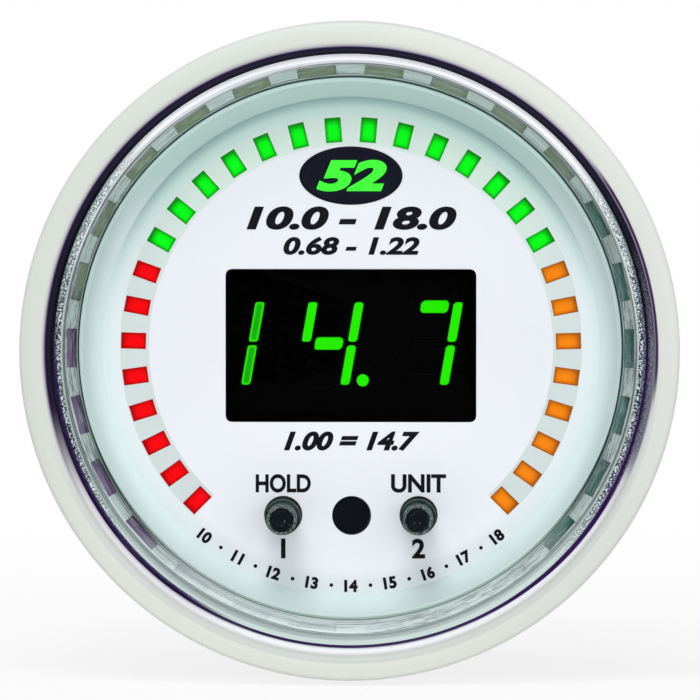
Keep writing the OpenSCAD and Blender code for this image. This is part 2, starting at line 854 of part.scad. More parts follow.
// The processor, with legs on all four sides
module processor() {
    facing() color([0.1, 0.1, 0.11]) translate([0, processor_y, 0])
        for (turn = [0, quarter_turn])
            rotate(turn) chip(processor_w, processor_w, processor_legs, control_front, 1, processor_t);
}

// The voltage regulator, with its tab and three legs
module voltage_regulator() {
    leg_pitch = regulator_w / 3;
    facing() color([0.14, 0.14, 0.15]) translate([regulator_x, regulator_y, 0]) {
        block(regulator_w, regulator_l, control_front, control_front + regulator_t);
        translate([0, (regulator_l + regulator_tab_l) / 2, 0])
            block(regulator_w, regulator_tab_l, control_front, control_front + regulator_tab_t);
        for (i = [-1, 0, 1])
            translate([i * leg_pitch, -(regulator_l + regulator_leg_l) / 2, 0])
                block(chip_leg_w * 2, regulator_leg_l, control_front, control_front + regulator_tab_t);
    }
}

// The smoothing capacitors, each a can with a rolled groove
module capacitors() {
    groove_z = control_front + 2 * capacitor_groove;
    facing() color([0.2, 0.24, 0.4])
        for (side = [-1, 1])
            rotate(side * capacitor_turn) translate([capacitor_r + capacitor_edge_gap - control_r, 0, 0]) {
                disc(capacitor_r, control_front, groove_z);
                disc(capacitor_r - capacitor_groove, groove_z, groove_z + 2 * capacitor_groove);
                disc(capacitor_r, groove_z + 2 * capacitor_groove, control_front + capacitor_h);
            }
}

// The plug on the control board and the socket behind the display board
module link_headers() {
    w = link_columns * link_pitch;
    h = link_rows * link_pitch;
    hole = link_pin_w + 2 * inlay_clearance;
    facing() color([0.12, 0.12, 0.12]) difference() {
        translate([0, link_y, 0]) {
            block(w, h, control_front, control_front + link_plug_h);
            block(w, h, board_back - link_socket_h, board_back);
        }
        at_link_pins() block(hole, hole, control_front - overrun, board_back - link_wall);
    }
}

// The pins that link the two boards
module link_pins() {
    facing() color([0.85, 0.72, 0.35])
        at_link_pins() block(link_pin_w, link_pin_w, control_back - link_tail, board_back - link_wall);
}

// The black case that goes through the panel, with its flange, the groove under the bezel's lip,
// the shoulder and the back
module case() {
    facing() color([0.08, 0.08, 0.09]) difference() {
        rotate_extrude() polygon([
            [0, -case_depth], [case_r - case_chamfer, -case_depth],
            [case_r, -case_depth + case_chamfer], [case_r, 0], [case_r - lip_relief, 0],
            [case_r - lip_relief, bezel_sheet], [flange_r, bezel_sheet],
            [flange_r, case_front], [mouth_r, case_front], [mouth_r, board_back],
            [case_bore_r, board_back], [case_bore_r, case_floor], [0, case_floor]]);
        both_sides(stud_x, 0)
            disc(stud_d / 2 + bore_clearance, -case_depth - overrun, case_floor + overrun);
        translate([0, header_y, 0])
            block(header_w + 2 * cover_clearance, header_h + 2 * cover_clearance,
                -case_depth - overrun, case_floor + overrun);
    }
}

// The inlet's socket, which reaches through the case's back, with a ramp for the plug's latch
module inlet_header() {
    facing() color([0.9, 0.89, 0.84]) difference() {
        translate([0, header_y, 0]) {
            block(header_w, header_h, header_back, control_back);
            translate([0, (header_h + latch_h) / 2, 0])
                block(latch_w, latch_h, header_back + latch_setback,
                    header_back + latch_setback + latch_l);
        }
        translate([0, header_y, 0])
            block(header_w - 2 * header_wall, header_h - 2 * header_wall,
                header_back - overrun, header_floor);
        at_inlet_pins()
            block(inlet_pin_w + 2 * inlay_clearance, inlet_pin_w + 2 * inlay_clearance,
                header_floor - overrun, control_back + overrun);
    }
}

// The inlet's pins, from the socket through the control board
module inlet_pins() {
    facing() color([0.85, 0.72, 0.35]) at_inlet_pins()
        block(inlet_pin_w, inlet_pin_w, header_floor - inlet_pin_reach, control_front + inlet_tail);
}

// The studs, whose heads bear on the inside of the case's back
module studs() {
    facing() color([0.76, 0.76, 0.74]) both_sides(stud_x, 0) {
        disc(stud_head_r, case_floor, case_floor + stud_head_t);
        disc(stud_d / 2, -case_depth - stud_l, case_floor + stud_head_t);
    }
}

// A hexagonal nut on a stud
module nut(back, front) {
    difference() {
        hex_bar(nut_af, back, front);
        disc(stud_d / 2 + thread_clearance, back - overrun, front + overrun);
    }
}

// The nuts that hold the studs in the case's back
module stud_nuts() {
    facing() color([0.8, 0.8, 0.76])
        both_sides(stud_x, 0) nut(-case_depth - jam_nut_t, -case_depth);
}

// The U-shaped clamp: a strip whose legs are curved as the case is, and whose feet pull the
// bezel against the panel
module clamp_bracket() {
    bend_in_r = clamp_bend_r - clamp_t;
    middle = [clamp_outer_r - clamp_bend_r, clamp_back + clamp_bend_r];
    profile = concat(
        [[0, clamp_back]],
        arc(middle, clamp_bend_r, -quarter_turn, 0, 6),
        [[clamp_outer_r, -panel_room], [clamp_inner_r, -panel_room]],
        arc(middle, bend_in_r, 0, -quarter_turn, 6),
        [[0, clamp_front]]);
    facing() color([0.74, 0.75, 0.76]) difference() {
        intersection() {
            rotate_extrude() polygon(profile);
            block(2 * bezel_r, clamp_w, clamp_back - overrun, 0);
        }
        both_sides(stud_x, 0)
            disc(stud_d / 2 + stack_clearance, clamp_back - overrun, clamp_front + overrun);
    }
}

// The washers between the clamp and its nuts
module clamp_washers() {
    facing() color([0.8, 0.8, 0.78]) both_sides(stud_x, 0)
        ring(washer_r, stud_d / 2 + stack_clearance, washer_back, clamp_back);
}

// The nuts that draw the clamp up
module clamp_nuts() {
    facing() color([0.82, 0.82, 0.78])
        both_sides(stud_x, 0) nut(washer_back - nut_t, washer_back);
}

bezel();
bezel_gasket();
lens();
lens_seat_ring();
reflector_ring();
dial_face();
badge_plate();
display_filter();
sensor_window();
green_lenses();
red_lenses();
amber_lenses();
light_baffle();
bar_leds();
light_sensor();
digit_display();
lit_segments();
unlit_segments();
display_leads();
display_board();
led_drivers();
button_sleeves();
left_button();
right_button();
left_switch_stem();
right_switch_stem();
left_switch_dome();
right_switch_dome();
switch_bases();
switch_covers();
board_spacers();
board_screws();
control_board();
processor();
voltage_regulator();
capacitors();
link_headers();
link_pins();
case();
inlet_header();
inlet_pins();
studs();
stud_nuts();
clamp_bracket();
clamp_washers();
clamp_nuts();
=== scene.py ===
"""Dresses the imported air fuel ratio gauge: rings, lens, dial, lights, digits and case."""

import math

import bmesh
import bpy
from mathutils import Matrix, Vector


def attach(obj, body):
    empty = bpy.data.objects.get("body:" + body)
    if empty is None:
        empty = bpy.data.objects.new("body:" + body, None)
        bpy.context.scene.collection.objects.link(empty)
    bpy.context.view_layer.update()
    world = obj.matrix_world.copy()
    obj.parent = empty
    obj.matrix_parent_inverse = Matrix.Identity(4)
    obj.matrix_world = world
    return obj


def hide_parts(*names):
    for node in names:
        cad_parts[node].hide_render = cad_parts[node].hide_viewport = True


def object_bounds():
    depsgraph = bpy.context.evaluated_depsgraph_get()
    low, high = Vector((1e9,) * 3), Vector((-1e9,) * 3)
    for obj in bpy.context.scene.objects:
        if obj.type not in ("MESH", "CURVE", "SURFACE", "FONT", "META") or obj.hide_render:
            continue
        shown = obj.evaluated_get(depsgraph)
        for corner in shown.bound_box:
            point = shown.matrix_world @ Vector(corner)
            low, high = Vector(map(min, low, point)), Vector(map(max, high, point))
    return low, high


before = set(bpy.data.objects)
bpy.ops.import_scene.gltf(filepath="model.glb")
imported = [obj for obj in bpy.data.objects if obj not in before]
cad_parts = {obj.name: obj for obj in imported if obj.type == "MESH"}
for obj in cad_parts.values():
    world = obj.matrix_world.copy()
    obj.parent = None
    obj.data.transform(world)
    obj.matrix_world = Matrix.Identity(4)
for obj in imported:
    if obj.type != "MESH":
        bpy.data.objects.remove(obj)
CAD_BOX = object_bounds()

bl_info = {
    "name": "Air Fuel Ratio Gauge",
    "version": (1, 0, 0),
    "blender": (4, 5, 0),
    "location": "3D View > Sidebar > Gauge",
    "description": "Builds the looks of a round air fuel ratio gauge around its CAD frame",
    "category": "Object",
}

MM = 0.001
FACING = Matrix.Scale(MM, 4) @ Matrix.Rotation(math.radians(90), 4, "X")
FULL_TURN = 2 * math.pi
GAUGE = "gauge"
CLAMP = "clamp"
BUTTONS = (("left", -1), ("right", 1))


# ---------------------------------------------------------------- sizes and colours

def length(label, text, millimetres):
    """A length property, whose default is given in millimetres."""
    return bpy.props.FloatProperty(
        name=label, description=text, default=millimetres * MM, min=0, unit="LENGTH", precision=5)


def colour(label, text, red, green, blue):
    """A colour property, whose default is linear."""
    return bpy.props.FloatVectorProperty(
        name=label, description=text, default=(red, green, blue), size=3, min=0, max=1,
        subtype="COLOR")


class GaugeRingSizes(bpy.types.PropertyGroup):
    """Sizes of the bezel, the lens and the rings."""
    bezel_r: length("Bezel radius", "Outer radius of the bezel", 28)
    bezel_h: length("Bezel height", "Height of the bezel's lip over the panel", 9)
    opening_r: length("Opening radius", "Radius of the bezel's lip", 25.95)
    throat_r: length("Throat radius", "Radius of the throat at its foot", 25.3)
    throat_foot: length("Throat foot", "Height of the throat's foot over the panel", 6.2)
    lens_r: length("Lens radius", "Radius of the raised lens", 25.1)
    lens_front: length("Lens front", "Height of the lens's front", 7.4)
    lens_back: length("Lens back", "Height of the lens's back", 4.6)
    flange_r: length("Flange radius", "Radius of the lens's flange and the case's flange", 27)
    ledge_out_r: length("Ledge outer radius", "Outer radius of the notched ledge", 24.2)
    ledge_in_r: length("Ledge inner radius", "Inner radius of the notched ledge", 23.2)
    ledge_h: length("Ledge height", "Height of the notched ledge over the panel", 3.8)
    reflector_r: length("Reflector radius", "Outer radius of the reflector", 23.05)
    reflector_foot_r: length("Reflector foot", "Inner radius of the reflector at the dial", 21.2)
    notches: bpy.props.IntProperty(
        name="Notches", description="Number of notches round the ledge", default=26, min=3)


class GaugeDialSizes(bpy.types.PropertyGroup):
    """Sizes of the dial, the lights, the digits and the buttons."""
    dial_front: length("Dial front", "Height of the dial's front over the panel", 1.6)
    dial_back: length("Dial back", "Height of the dial's back over the panel", 1.1)
    light_ring_r: length("Light ring", "Radius of the circle through the lights", 18.53)
    light_w: length("Light width", "Width of a window, along the circle", 1.38)
    light_l: length("Light length", "Length of a window, along the radius", 2.12)
    display_w: length("Display width", "Width of the digits' opening", 21.36)
    display_h: length("Display height", "Height of the digits' opening", 13.06)
    badge_w: length("Badge width", "Width of the oval plate", 8.74)
    badge_h: length("Badge height", "Height of the oval plate", 4.92)
    badge_y: length("Badge place", "Height of the oval plate's middle", 14.6)
    button_x: length("Button place across", "Distance of a button from the middle line", 5.77)
    button_drop: length("Button place down", "Distance of the buttons below the middle", 14.36)
    hole_r: length("Dial hole", "Radius of the dial's three round holes", 1.62)
    sleeve_r: length("Sleeve radius", "Outer radius of a button's sleeve", 1.275)
    plunger_r: length("Plunger radius", "Radius of a button's plunger", 0.96)


class GaugeColours(bpy.types.PropertyGroup):
    """Colours of what shows from the front and the back."""
    satin: colour("Satin rim", "The bezel's outer rim", 0.71, 0.735, 0.685)
    # navy and violet are the colours of the painted reflections in the throat and round the lens's
    # rim
    navy: colour("Throat", "The dark of the polished throat", 0.026, 0.028, 0.045)
    violet: colour("Throat violet", "The violet of the polished throat", 0.026, 0.013, 0.055)
    reflector: colour("Reflector", "The pale teal wall round the dial", 0.56, 0.71, 0.68)
    face: colour("Dial", "The dial's white", 0.84, 0.865, 0.915)
    band: colour("Light band", "The grey band between the lights", 0.68, 0.75, 0.75)
    ink: colour("Ink", "The dial's printed figures", 0.006, 0.007, 0.010)
    badge: colour("Badge", "The oval plate", 0.008, 0.009, 0.018)
    green: colour("Green lights", "The lights over the top", 0.0, 0.92, 0.008)
    red: colour("Red lights", "The lights at the left", 0.88, 0.0, 0.003)
    amber: colour("Amber lights", "The lights at the right", 0.82, 0.22, 0.004)
    digits: colour("Digits", "The lit digits", 0.012, 1.0, 0.0)
    case: colour("Case", "The black moulded case", 0.022, 0.022, 0.025)
    zinc: colour("Zinc", "The plated clamp, studs and nuts", 0.56, 0.57, 0.55)


def sizes(group):
    """The sizes of a property group in millimetres, by name."""
    values = {}
    for key in group.__annotations__:
        value = getattr(group, key)
        values[key] = value if isinstance(value, int) else value / MM
    return values


def rings():
    return sizes(bpy.context.scene.gauge_rings)


def dial():
    return sizes(bpy.context.scene.gauge_dial)


def paint(name):
    return tuple(getattr(bpy.context.scene.gauge_colours, name))


def toned(tint, factor):
    """A colour made darker or lighter."""
    return tuple(min(1, channel * factor) for channel in tint)


# ---------------------------------------------------------------- sums written as Python

class Term:
    """A socket that takes part in sums, in a shader or in a geometry tree."""

    def __init__(self, graph, socket):
        self.graph = graph
        self.socket = socket

    def __add__(self, other): return self.graph.sum("ADD", self, other)
    def __radd__(self, other): return self.graph.sum("ADD", other, self)
    def __sub__(self, other): return self.graph.sum("SUBTRACT", self, other)
    def __rsub__(self, other): return self.graph.sum("SUBTRACT", other, self)
    def __mul__(self, other): return self.graph.sum("MULTIPLY", self, other)
    def __rmul__(self, other): return self.graph.sum("MULTIPLY", other, self)
    def __truediv__(self, other): return self.graph.sum("DIVIDE", self, other)
    def __rtruediv__(self, other): return self.graph.sum("DIVIDE", other, self)
    def __pow__(self, other): return self.graph.sum("POWER", self, other)
    def __rpow__(self, other): return self.graph.sum("POWER", other, self)
    def __neg__(self): return self.graph.sum("MULTIPLY", self, -1)
    def __abs__(self): return self.graph.sum("ABSOLUTE", self)


class Graph:
    """A node tree and the one way to add a node to it."""

    def __init__(self, tree):
        self.tree = tree

    def feed(self, socket, value):
        """Links a term to a socket, or sets the socket's own value."""
        if isinstance(value, Term):
            self.tree.links.new(value.socket, socket)
        elif isinstance(value, bpy.types.NodeSocket):
            self.tree.links.new(value, socket)
        else:
            if socket.type == "RGBA" and len(value) == 3:
                value = (*value, 1)
            socket.default_value = value

    def node(self, kind, settings=None, inputs=None):
        """Adds a node: first its settings, then its sockets."""
        made = self.tree.nodes.new(kind)
        for key, value in (settings or {}).items():
            setattr(made, key, value)
        for key, value in (inputs or {}).items():
            self.feed(made.inputs[key], value)
        return made

    def term(self, made, key=0):
        return Term(self, made.outputs[key])

    def sum(self, operation, *values):
        return self.term(self.node(
            "ShaderNodeMath", {"operation": operation}, dict(enumerate(values))))

    def vector(self, x=0, y=0, z=0):
        return self.term(self.node("ShaderNodeCombineXYZ", None, {0: x, 1: y, 2: z}))

    def split(self, vector):
        made = self.node("ShaderNodeSeparateXYZ", None, {0: vector})
        return tuple(self.term(made, i) for i in range(3))

    def step(self, value, low, high):
        """0 below low and 1 above high, with a smooth step between; low may be the higher one."""
        return self.term(self.node(
            "ShaderNodeMapRange", {"interpolation_type": "SMOOTHSTEP"},
            {0: value, 1: low, 2: high}))


class Finish(Graph):
    """One material: a Principled shader, and what varies over its surface."""

    def __init__(self, name, base, roughness=0.4, metallic=0.0, **constants):
        self.material = bpy.data.materials.new(name)
        self.material.use_nodes = True
        super().__init__(self.material.node_tree)
        self.shader = self.tree.nodes["Principled BSDF"]
        self.output = self.tree.nodes["Material Output"]
        self.set("Base Color", base)
        self.set("Roughness", roughness)
        self.set("Metallic", metallic)
        for key, value in constants.items():
            self.set(key.replace("_", " ").title().replace("Ior", "IOR"), value)
        self.place = None

    def set(self, key, value):
        self.feed(self.shader.inputs[key], value)

    def coordinates(self):
        """The place on the piece in millimetres, as a vector term."""
        if self.place is None:
            made = self.node("ShaderNodeTexCoord")
            self.place = self.term(self.node(
                "ShaderNodeVectorMath", {"operation": "SCALE"},
                {0: made.outputs["Object"], "Scale": 1 / MM}))
        return self.place

    def axes(self):
        """Right, towards the driver, and up, in millimetres."""
        right, depth, up = self.split(self.coordinates())
        return right, -depth, up

    def around(self):
        """Radius in millimetres, share to the right, share upwards, height over the panel."""
        across, height, up = self.axes()
        radius = self.sum("SQRT", across * across + up * up + 0.0001)
        return radius, across / radius, up / radius, height

    def sector(self, right, up, middle, full, none):
        """1 near a direction and 0 away from it, in degrees clockwise from the top."""
        turn = math.radians(middle)
        share = right * math.sin(turn) + up * math.cos(turn)
        return self.step(share, math.cos(math.radians(none)), math.cos(math.radians(full)))

    def noise(self, size, detail=2.0, roughness=0.5, distortion=0.0, place=None):
        """Noise whose blobs measure about size millimetres."""
        return self.term(self.node(
            "ShaderNodeTexNoise", None,
            {"Vector": place or self.coordinates(), "Scale": 1 / size, "Detail": detail,
             "Roughness": roughness, "Distortion": distortion}))

    def stretched(self, x, y, z):
        """Coordinates that are scaled along each axis, for brushed and streaked patterns."""
        return self.term(self.node(
            "ShaderNodeVectorMath", {"operation": "MULTIPLY"},
            {0: self.coordinates(), 1: (x, y, z)}))

    def turned(self, radius, height, share_right, share_up, grain):
        """Coordinates for marks left by turning: fine across the radius, long along the circle."""
        return self.vector(radius * grain, height * grain, share_right + 2 * share_up)

    def mix(self, factor, first, second):
        made = self.node("ShaderNodeMix", {"data_type": "RGBA"}, {0: factor, 6: first, 7: second})
        return self.term(made, 2)

    def bump(self, height, distance, strength=1.0):
        """Relief of the given depth in millimetres."""
        made = self.node("ShaderNodeBump", None, {
            "Strength": strength, "Distance": distance * MM, "Height": height})
        self.set("Normal", self.term(made))

    def vary(self, base, amount, size):
        """The base colour, a little lighter and darker in patches."""
        self.set("Base Color", self.mix(
            self.noise(size, 3), toned(base, 1 - amount), toned(base, 1 + amount)))

    def vary_roughness(self, low, high, size):
        self.set("Roughness", low + self.noise(size, 3) * (high - low))

    def core(self):
        """The core attribute of a lit piece: 0 at its edges and 1 in its middle."""
        return self.term(self.node("ShaderNodeAttribute", {"attribute_name": "core"}), "Fac")

    def gloss(self):
        """How much more a clear skin shows at a glancing view."""
        true_normal = self.node("ShaderNodeNewGeometry").outputs["True Normal"]
        skin = self.node("ShaderNodeLayerWeight", None, {"Blend": 0.3, "Normal": true_normal})
        return self.term(skin, "Facing") ** 3


FINISHES = {}


def finish(name):
    """The finish of that name, made once."""
    if name not in FINISHES:
        FINISHES[name] = MAKERS[name]()
    return FINISHES[name]


def plain(name, base, shade=0.08, patch=2.0, rough=(0.35, 0.5), metallic=0.0, grain=0.08,
          relief=0.004, **constants):
    """A finish with patches, uneven gloss and a fine grain."""
    made = Finish(name, base, rough[0], metallic, **constants)
    made.vary(base, shade, patch)
    made.vary_roughness(rough[0], rough[1], patch / 3)
    made.bump(made.noise(grain, 3, 0.6), relief)
    return made.material


def satin_rim():
    """The bezel: satin outside, with painted light and shade on its rim, and a polished throat
    whose painted reflection is dark above and light below.
    """
    satin, navy, violet = paint("satin"), paint("navy"), paint("violet")
    foot_r, lip_r = rings()["throat_r"], rings()["opening_r"]
    made = Finish("satin_rim", satin, 0.5, 0.06, specular_ior_level=0.0)
    radius, right, up, _ = made.around()
    speckle = made.noise(0.12, 3, 0.7)
    rim = made.mix(speckle, toned(satin, 0.975), toned(satin, 1.02))
    # painted light and shade on the rim: darker at the upper left, the top edge and the right,
    # lighter at the lower right, and a painted shaded band along the lip below
    outer = made.step(radius, 26.9, 27.9)
    rim = made.mix(made.sector(right, up, 300, 20, 100) * 0.65, rim, (0.62, 0.67, 0.62))
    rim = made.mix(made.sector(right, up, 0, 5, 50) * outer * 0.5, rim, (0.66, 0.69, 0.68))
    rim = made.mix(made.sector(right, up, 135, 40, 130) * (0.3 + outer * 0.4), rim,
                   (0.84, 0.87, 0.82))
    rim = made.mix(made.sector(right, up, 90, 20, 80) * 0.6, rim, (0.64, 0.67, 0.64))
    inner = made.step(radius, 26.60, 26.35) * made.sector(right, up, 175, 60, 90)
    rim = made.mix(inner * 0.95, rim, (0.60, 0.63, 0.60))
    # the throat, from its foot (0) to its lip (1): a painted reflection, dark above and light below
    across = (radius - foot_r) / (lip_r - foot_r)
    dark = made.mix(made.step(across, 0.35, 0.60), navy, violet)
    maroon = made.step(across, 0.65, 0.90) * made.sector(right, up, 270, 20, 45)
    dark = made.mix(maroon, dark, (0.085, 0.035, 0.09))
    lilac = made.step(across, 0.74, 0.98) * made.step(up, -0.5, -0.2)
    dark = made.mix(lilac * 0.9, dark, (0.42, 0.38, 0.52))
    light = made.mix(made.step(across, 0.50, 0.95), (0.95, 0.93, 0.98), (0.60, 0.63, 0.60))
    thick = made.step(up, -0.97, -0.65) * (0.07 + made.step(right, -0.2, 0.2) * 0.12)
    light = made.mix(made.step(across - thick, 0.14, 0.04), light, (0.07, 0.025, 0.17))
    # painted reflection at the right side: navy at the foot, greyer towards the lip
    aside = made.mix(made.step(across, 0.02, 0.30), navy, (0.10, 0.10, 0.17))
    aside = made.mix(made.step(across, 0.50, 0.95), aside, (0.24, 0.24, 0.29))
    painted_reflection = made.mix(made.sector(right, up, 178, 60, 82), dark, light)
    painted_reflection = made.mix(made.sector(right, up, 100, 7, 16), painted_reflection, aside)
    # a painted reflection of the lens's sparkling edge in the throat at the right
    painted_sparkle = made.step(made.noise(0.16, 1.5, 0.6, 0.4), 0.50, 0.56)
    painted_reflected_flecks = painted_sparkle * made.step(across, 0.85, 0.60) * made.sector(right, up, 96, 12, 28)
    painted_reflection = made.mix(painted_reflected_flecks * 0.75, painted_reflection, (0.50, 0.50, 0.60))
    # painted reflections at the lip: lilac below and a dark fringe at the right
    throat = made.step(radius, 25.97, 25.91)
    lip = made.step(radius, 26.10, 26.02) * made.step(up, -0.5, -0.2)
    base = made.mix(lip * 0.5, rim, (0.50, 0.46, 0.60))
    wide = made.step(radius, 26.22, 26.12) * made.sector(right, up, 76, 17, 26)
    base = made.mix(wide, base, (0.065, 0.03, 0.085))
    made.set("Base Color", made.mix(throat, base, painted_reflection))
    made.set("Metallic", 0.06 * (1 - throat))
    made.set("Roughness", 0.46 + speckle * 0.12 - throat * 0.1)
    made.bump(speckle * (1 - throat), 0.005)
    return made.material


def clear_lens():
    """The lens: clear in the middle, with a rounded edge that catches the light, shown as painted
    reflections and a painted glow.
    """
    made = Finish("clear_lens", (0, 0, 0), 0.05, 0.0, specular_ior_level=0.0,
                  emission_strength=0.7)
    radius, right, up, height = made.around()
    sparkle = made.noise(0.16, 1.5, 0.6, 0.4)
    painted_sparkle = made.step(sparkle, 0.49, 0.55)
    lines = made.noise(1.0, 1, 0.5, 0, made.turned(radius, height, right, up, 6.0))
    # painted light on the edge: white above and pale below, with fine lines on the inner side
    edge = made.mix(made.step(up, -0.2, 0.45), (0.44, 0.52, 0.49), (0.88, 0.90, 0.94))
    edge = made.mix(made.step(radius, 24.75, 24.5) * (0.1 + made.step(lines, 0.45, 0.56) * 0.9),
                    edge, (0.36, 0.42, 0.43))
    # painted reflections on the flanks: dark with sparkles, lighter towards the top
    lift = made.step(up, 0.0, 0.7)
    painted_flank_reflection = made.mix(lift, (0.006, 0.016, 0.030), (0.20, 0.27, 0.28))
    flanks = made.sector(right, up, 274, 24, 48) + made.sector(right, up, 92, 24, 46)
    edge = made.mix(flanks * made.step(radius, 24.48, 24.56), edge,
                    made.mix(painted_sparkle * (0.8 + lift * 0.2), painted_flank_reflection, (0.66, 0.74, 0.74)))
    # painted reflections: a dark outer edge at the right, and along the lower left
    dark = made.mix(made.step(up, -0.2, -0.6), (0.010, 0.018, 0.045), (0.05, 0.02, 0.10))
    edge = made.mix(made.step(radius, 24.80, 24.88) * made.sector(right, up, 98, 16, 30), edge,
                    made.mix(painted_sparkle * 0.6, dark, (0.5, 0.5, 0.6)))
    edge = made.mix(made.step(radius, 24.84, 24.90) * made.sector(right, up, 240, 24, 40), edge,
                    made.mix(painted_sparkle * 0.2, (0.012, 0.012, 0.045), (0.30, 0.28, 0.48)))
    # painted reflections: a navy and violet line round the outer rim, and a dark line along the
    # inner side of the band, stronger at the sides and paler below
    rim = made.mix(made.sector(right, up, 180, 80, 100), paint("navy"), (0.12, 0.04, 0.26))
    tone = made.mix(made.step(radius, 25.10, 25.13), edge, rim)
    shy = made.step(radius, 24.42, 24.33) * (0.35 + made.step(abs(right), 0.4, 0.9) * 0.5)
    streak = made.mix(made.step(up, -0.3, -0.8), (0.06, 0.10, 0.12), (0.30, 0.38, 0.38))
    tone = made.mix(shy, tone, streak)
    # a painted dark hairline, broken, along the inner side of the white, above
    hair = made.step(abs(radius - 24.41), 0.045, 0.02) * made.step(up, -0.1, 0.3)
    tone = made.mix(hair * made.step(lines, 0.30, 0.45) * 0.75, tone, (0.09, 0.11, 0.12))
    # painted reflections: fine arcs that the curved edge draws over the ledge
    arcs = made.noise(1.0, 2, 0.7, 0, made.turned(radius, height, right * 4, up * 4, 7.0))
    arcs = made.step(arcs, 0.56, 0.61) * made.step(radius, 23.2, 23.35)
    arcs = arcs * (0.25 + made.step(up, 0.75, 0.2) * 0.45)
    outer = made.step(radius, 24.20, 24.36)
    band = made.sum("MAXIMUM", outer, arcs)
    made.set("Base Color", made.mix(band, (0, 0, 0), tone))
    # a painted glow on the outer part of the edge, in its painted colours
    glow = made.step(radius, 24.4, 24.8) * made.step(radius, 25.13, 25.10)
    made.set("Emission Color", made.mix(glow * 0.8, (0, 0, 0), tone))
    made.set("Alpha", 0.003 + band * 0.9 + (1 - band) * made.gloss() * 0.4)
    made.set("Coat Weight", 1 - outer)
    made.set("Roughness", 0.05 + band * 0.3)
    made.bump(sparkle * band, 0.006)
    return made.material


def seat_metal():
    """The bright ring under the lens, with painted coloured glints in its notches, a painted glow
    below and fine turned lines.
    """
    made = Finish("seat_metal", (0.7, 0.75, 0.72), 0.25, 0.1, specular_ior_level=0.3,
                  emission_strength=0.42)
    radius, right, up, height = made.around()
    lines = made.noise(1.0, 2, 0.6, 0, made.turned(radius, height, right, up, 9.0))
    streak = made.noise(1.0, 2, 0.6, 0, made.turned(radius, height, right * 9, up * 9, 5.0))
    pale = made.mix(lines, (0.46, 0.62, 0.57), (0.80, 0.92, 0.89))
    # painted reflections in the notches, by their sides: olive above, violet at the left, teal at
    # the right, pale below
    outer = made.step(radius, 23.92, 24.02)
    above = made.mix(outer, (0.30, 0.42, 0.26), (0.40, 0.43, 0.42))
    left = made.mix(made.step(radius, 23.62, 23.78), (0.09, 0.04, 0.15), (0.30, 0.19, 0.42))
    aside = made.mix(made.step(radius, 23.5, 23.95), (0.16, 0.44, 0.37), (0.06, 0.18, 0.15))
    glint = made.mix(made.step(up, 0.10, 0.24), left, above)
    glint = made.mix(made.step(right - up * 0.25, 0.64, 0.74), glint, aside)
    below = made.step(up, -0.62, -0.86)
    glint = made.mix(below, glint, (0.80, 0.90, 0.89))
    glint = made.mix(made.step(streak, 0.45, 0.75) * 0.45, glint, pale)
    notch = made.step(height, 3.74, 3.66)
    # a painted glow on the ledge below, fainter in the notches
    lit = made.mix(notch, (0.58, 0.56, 0.60), (0.26, 0.24, 0.26))
    lit = made.mix(made.step(radius, 24.25, 24.15), (0, 0, 0), lit)
    made.set("Emission Color", made.mix(below, (0, 0, 0), lit))
    base = made.mix(notch, pale, glint)
    cone = made.step(radius, 24.2, 24.35)
    base = made.mix(cone * 0.6, base, (0.75, 0.74, 0.78))
    # a painted dark line round the ledge, standing for the shade in a groove
    painted_groove_shade = made.step(abs(radius - 23.36), 0.05, 0.02) * made.step(height, 3.6, 3.74)
    made.set("Base Color", made.mix(painted_groove_shade * 0.8, base, (0.07, 0.13, 0.13)))
    made.bump(lines, 0.01)
    return made.material


def pale_teal():
    """The reflector: smooth and slightly translucent, deeper in tone above than below, as painted
    shade above and painted light below.
    """
    made = Finish("pale_teal", paint("reflector"), 0.4, 0.0, specular_ior_level=0.25)
    radius, _, up, height = made.around()
    # painted light and shade by side and height: darker above, and lighter towards the foot below
    # and at the sides
    rise = made.step(height, 1.6, 4.5)
    above = made.mix(rise, (0.56, 0.76, 0.72), (0.63, 0.83, 0.78))
    below = made.mix(rise, (0.74, 0.87, 0.87), (0.66, 0.78, 0.77))
    sides = made.mix(rise, (0.82, 0.94, 0.95), (0.60, 0.76, 0.74))
    tone = made.mix(made.step(up, 0.4, 0.85), sides, above)
    tone = made.mix(made.step(up, -0.4, -0.85), tone, below)
    tone = made.mix(made.noise(3.0, 2) * 0.05, tone, (0.45, 0.6, 0.6))
    # a painted shadow along the foot, above
    tone = made.mix(made.step(height, 1.95, 1.7) * made.step(up, 0.2, 0.8) * 0.75, tone,
                    (0.30, 0.44, 0.43))
    # painted shade in the gap at the outer edge: dark above, paler and wider below
    painted_gap_shade = made.mix(made.step(up, -0.4, -0.8), (0.05, 0.10, 0.10), (0.40, 0.52, 0.48))
    wide = made.step(up, -0.2, -0.7) * 0.17
    made.set("Base Color", made.mix(made.step(radius + wide, 23.04, 23.07), tone, painted_gap_shade))
    made.vary_roughness(0.36, 0.46, 1.5)
    made.bump(made.noise(0.5, 1), 0.0006)
    return made.material


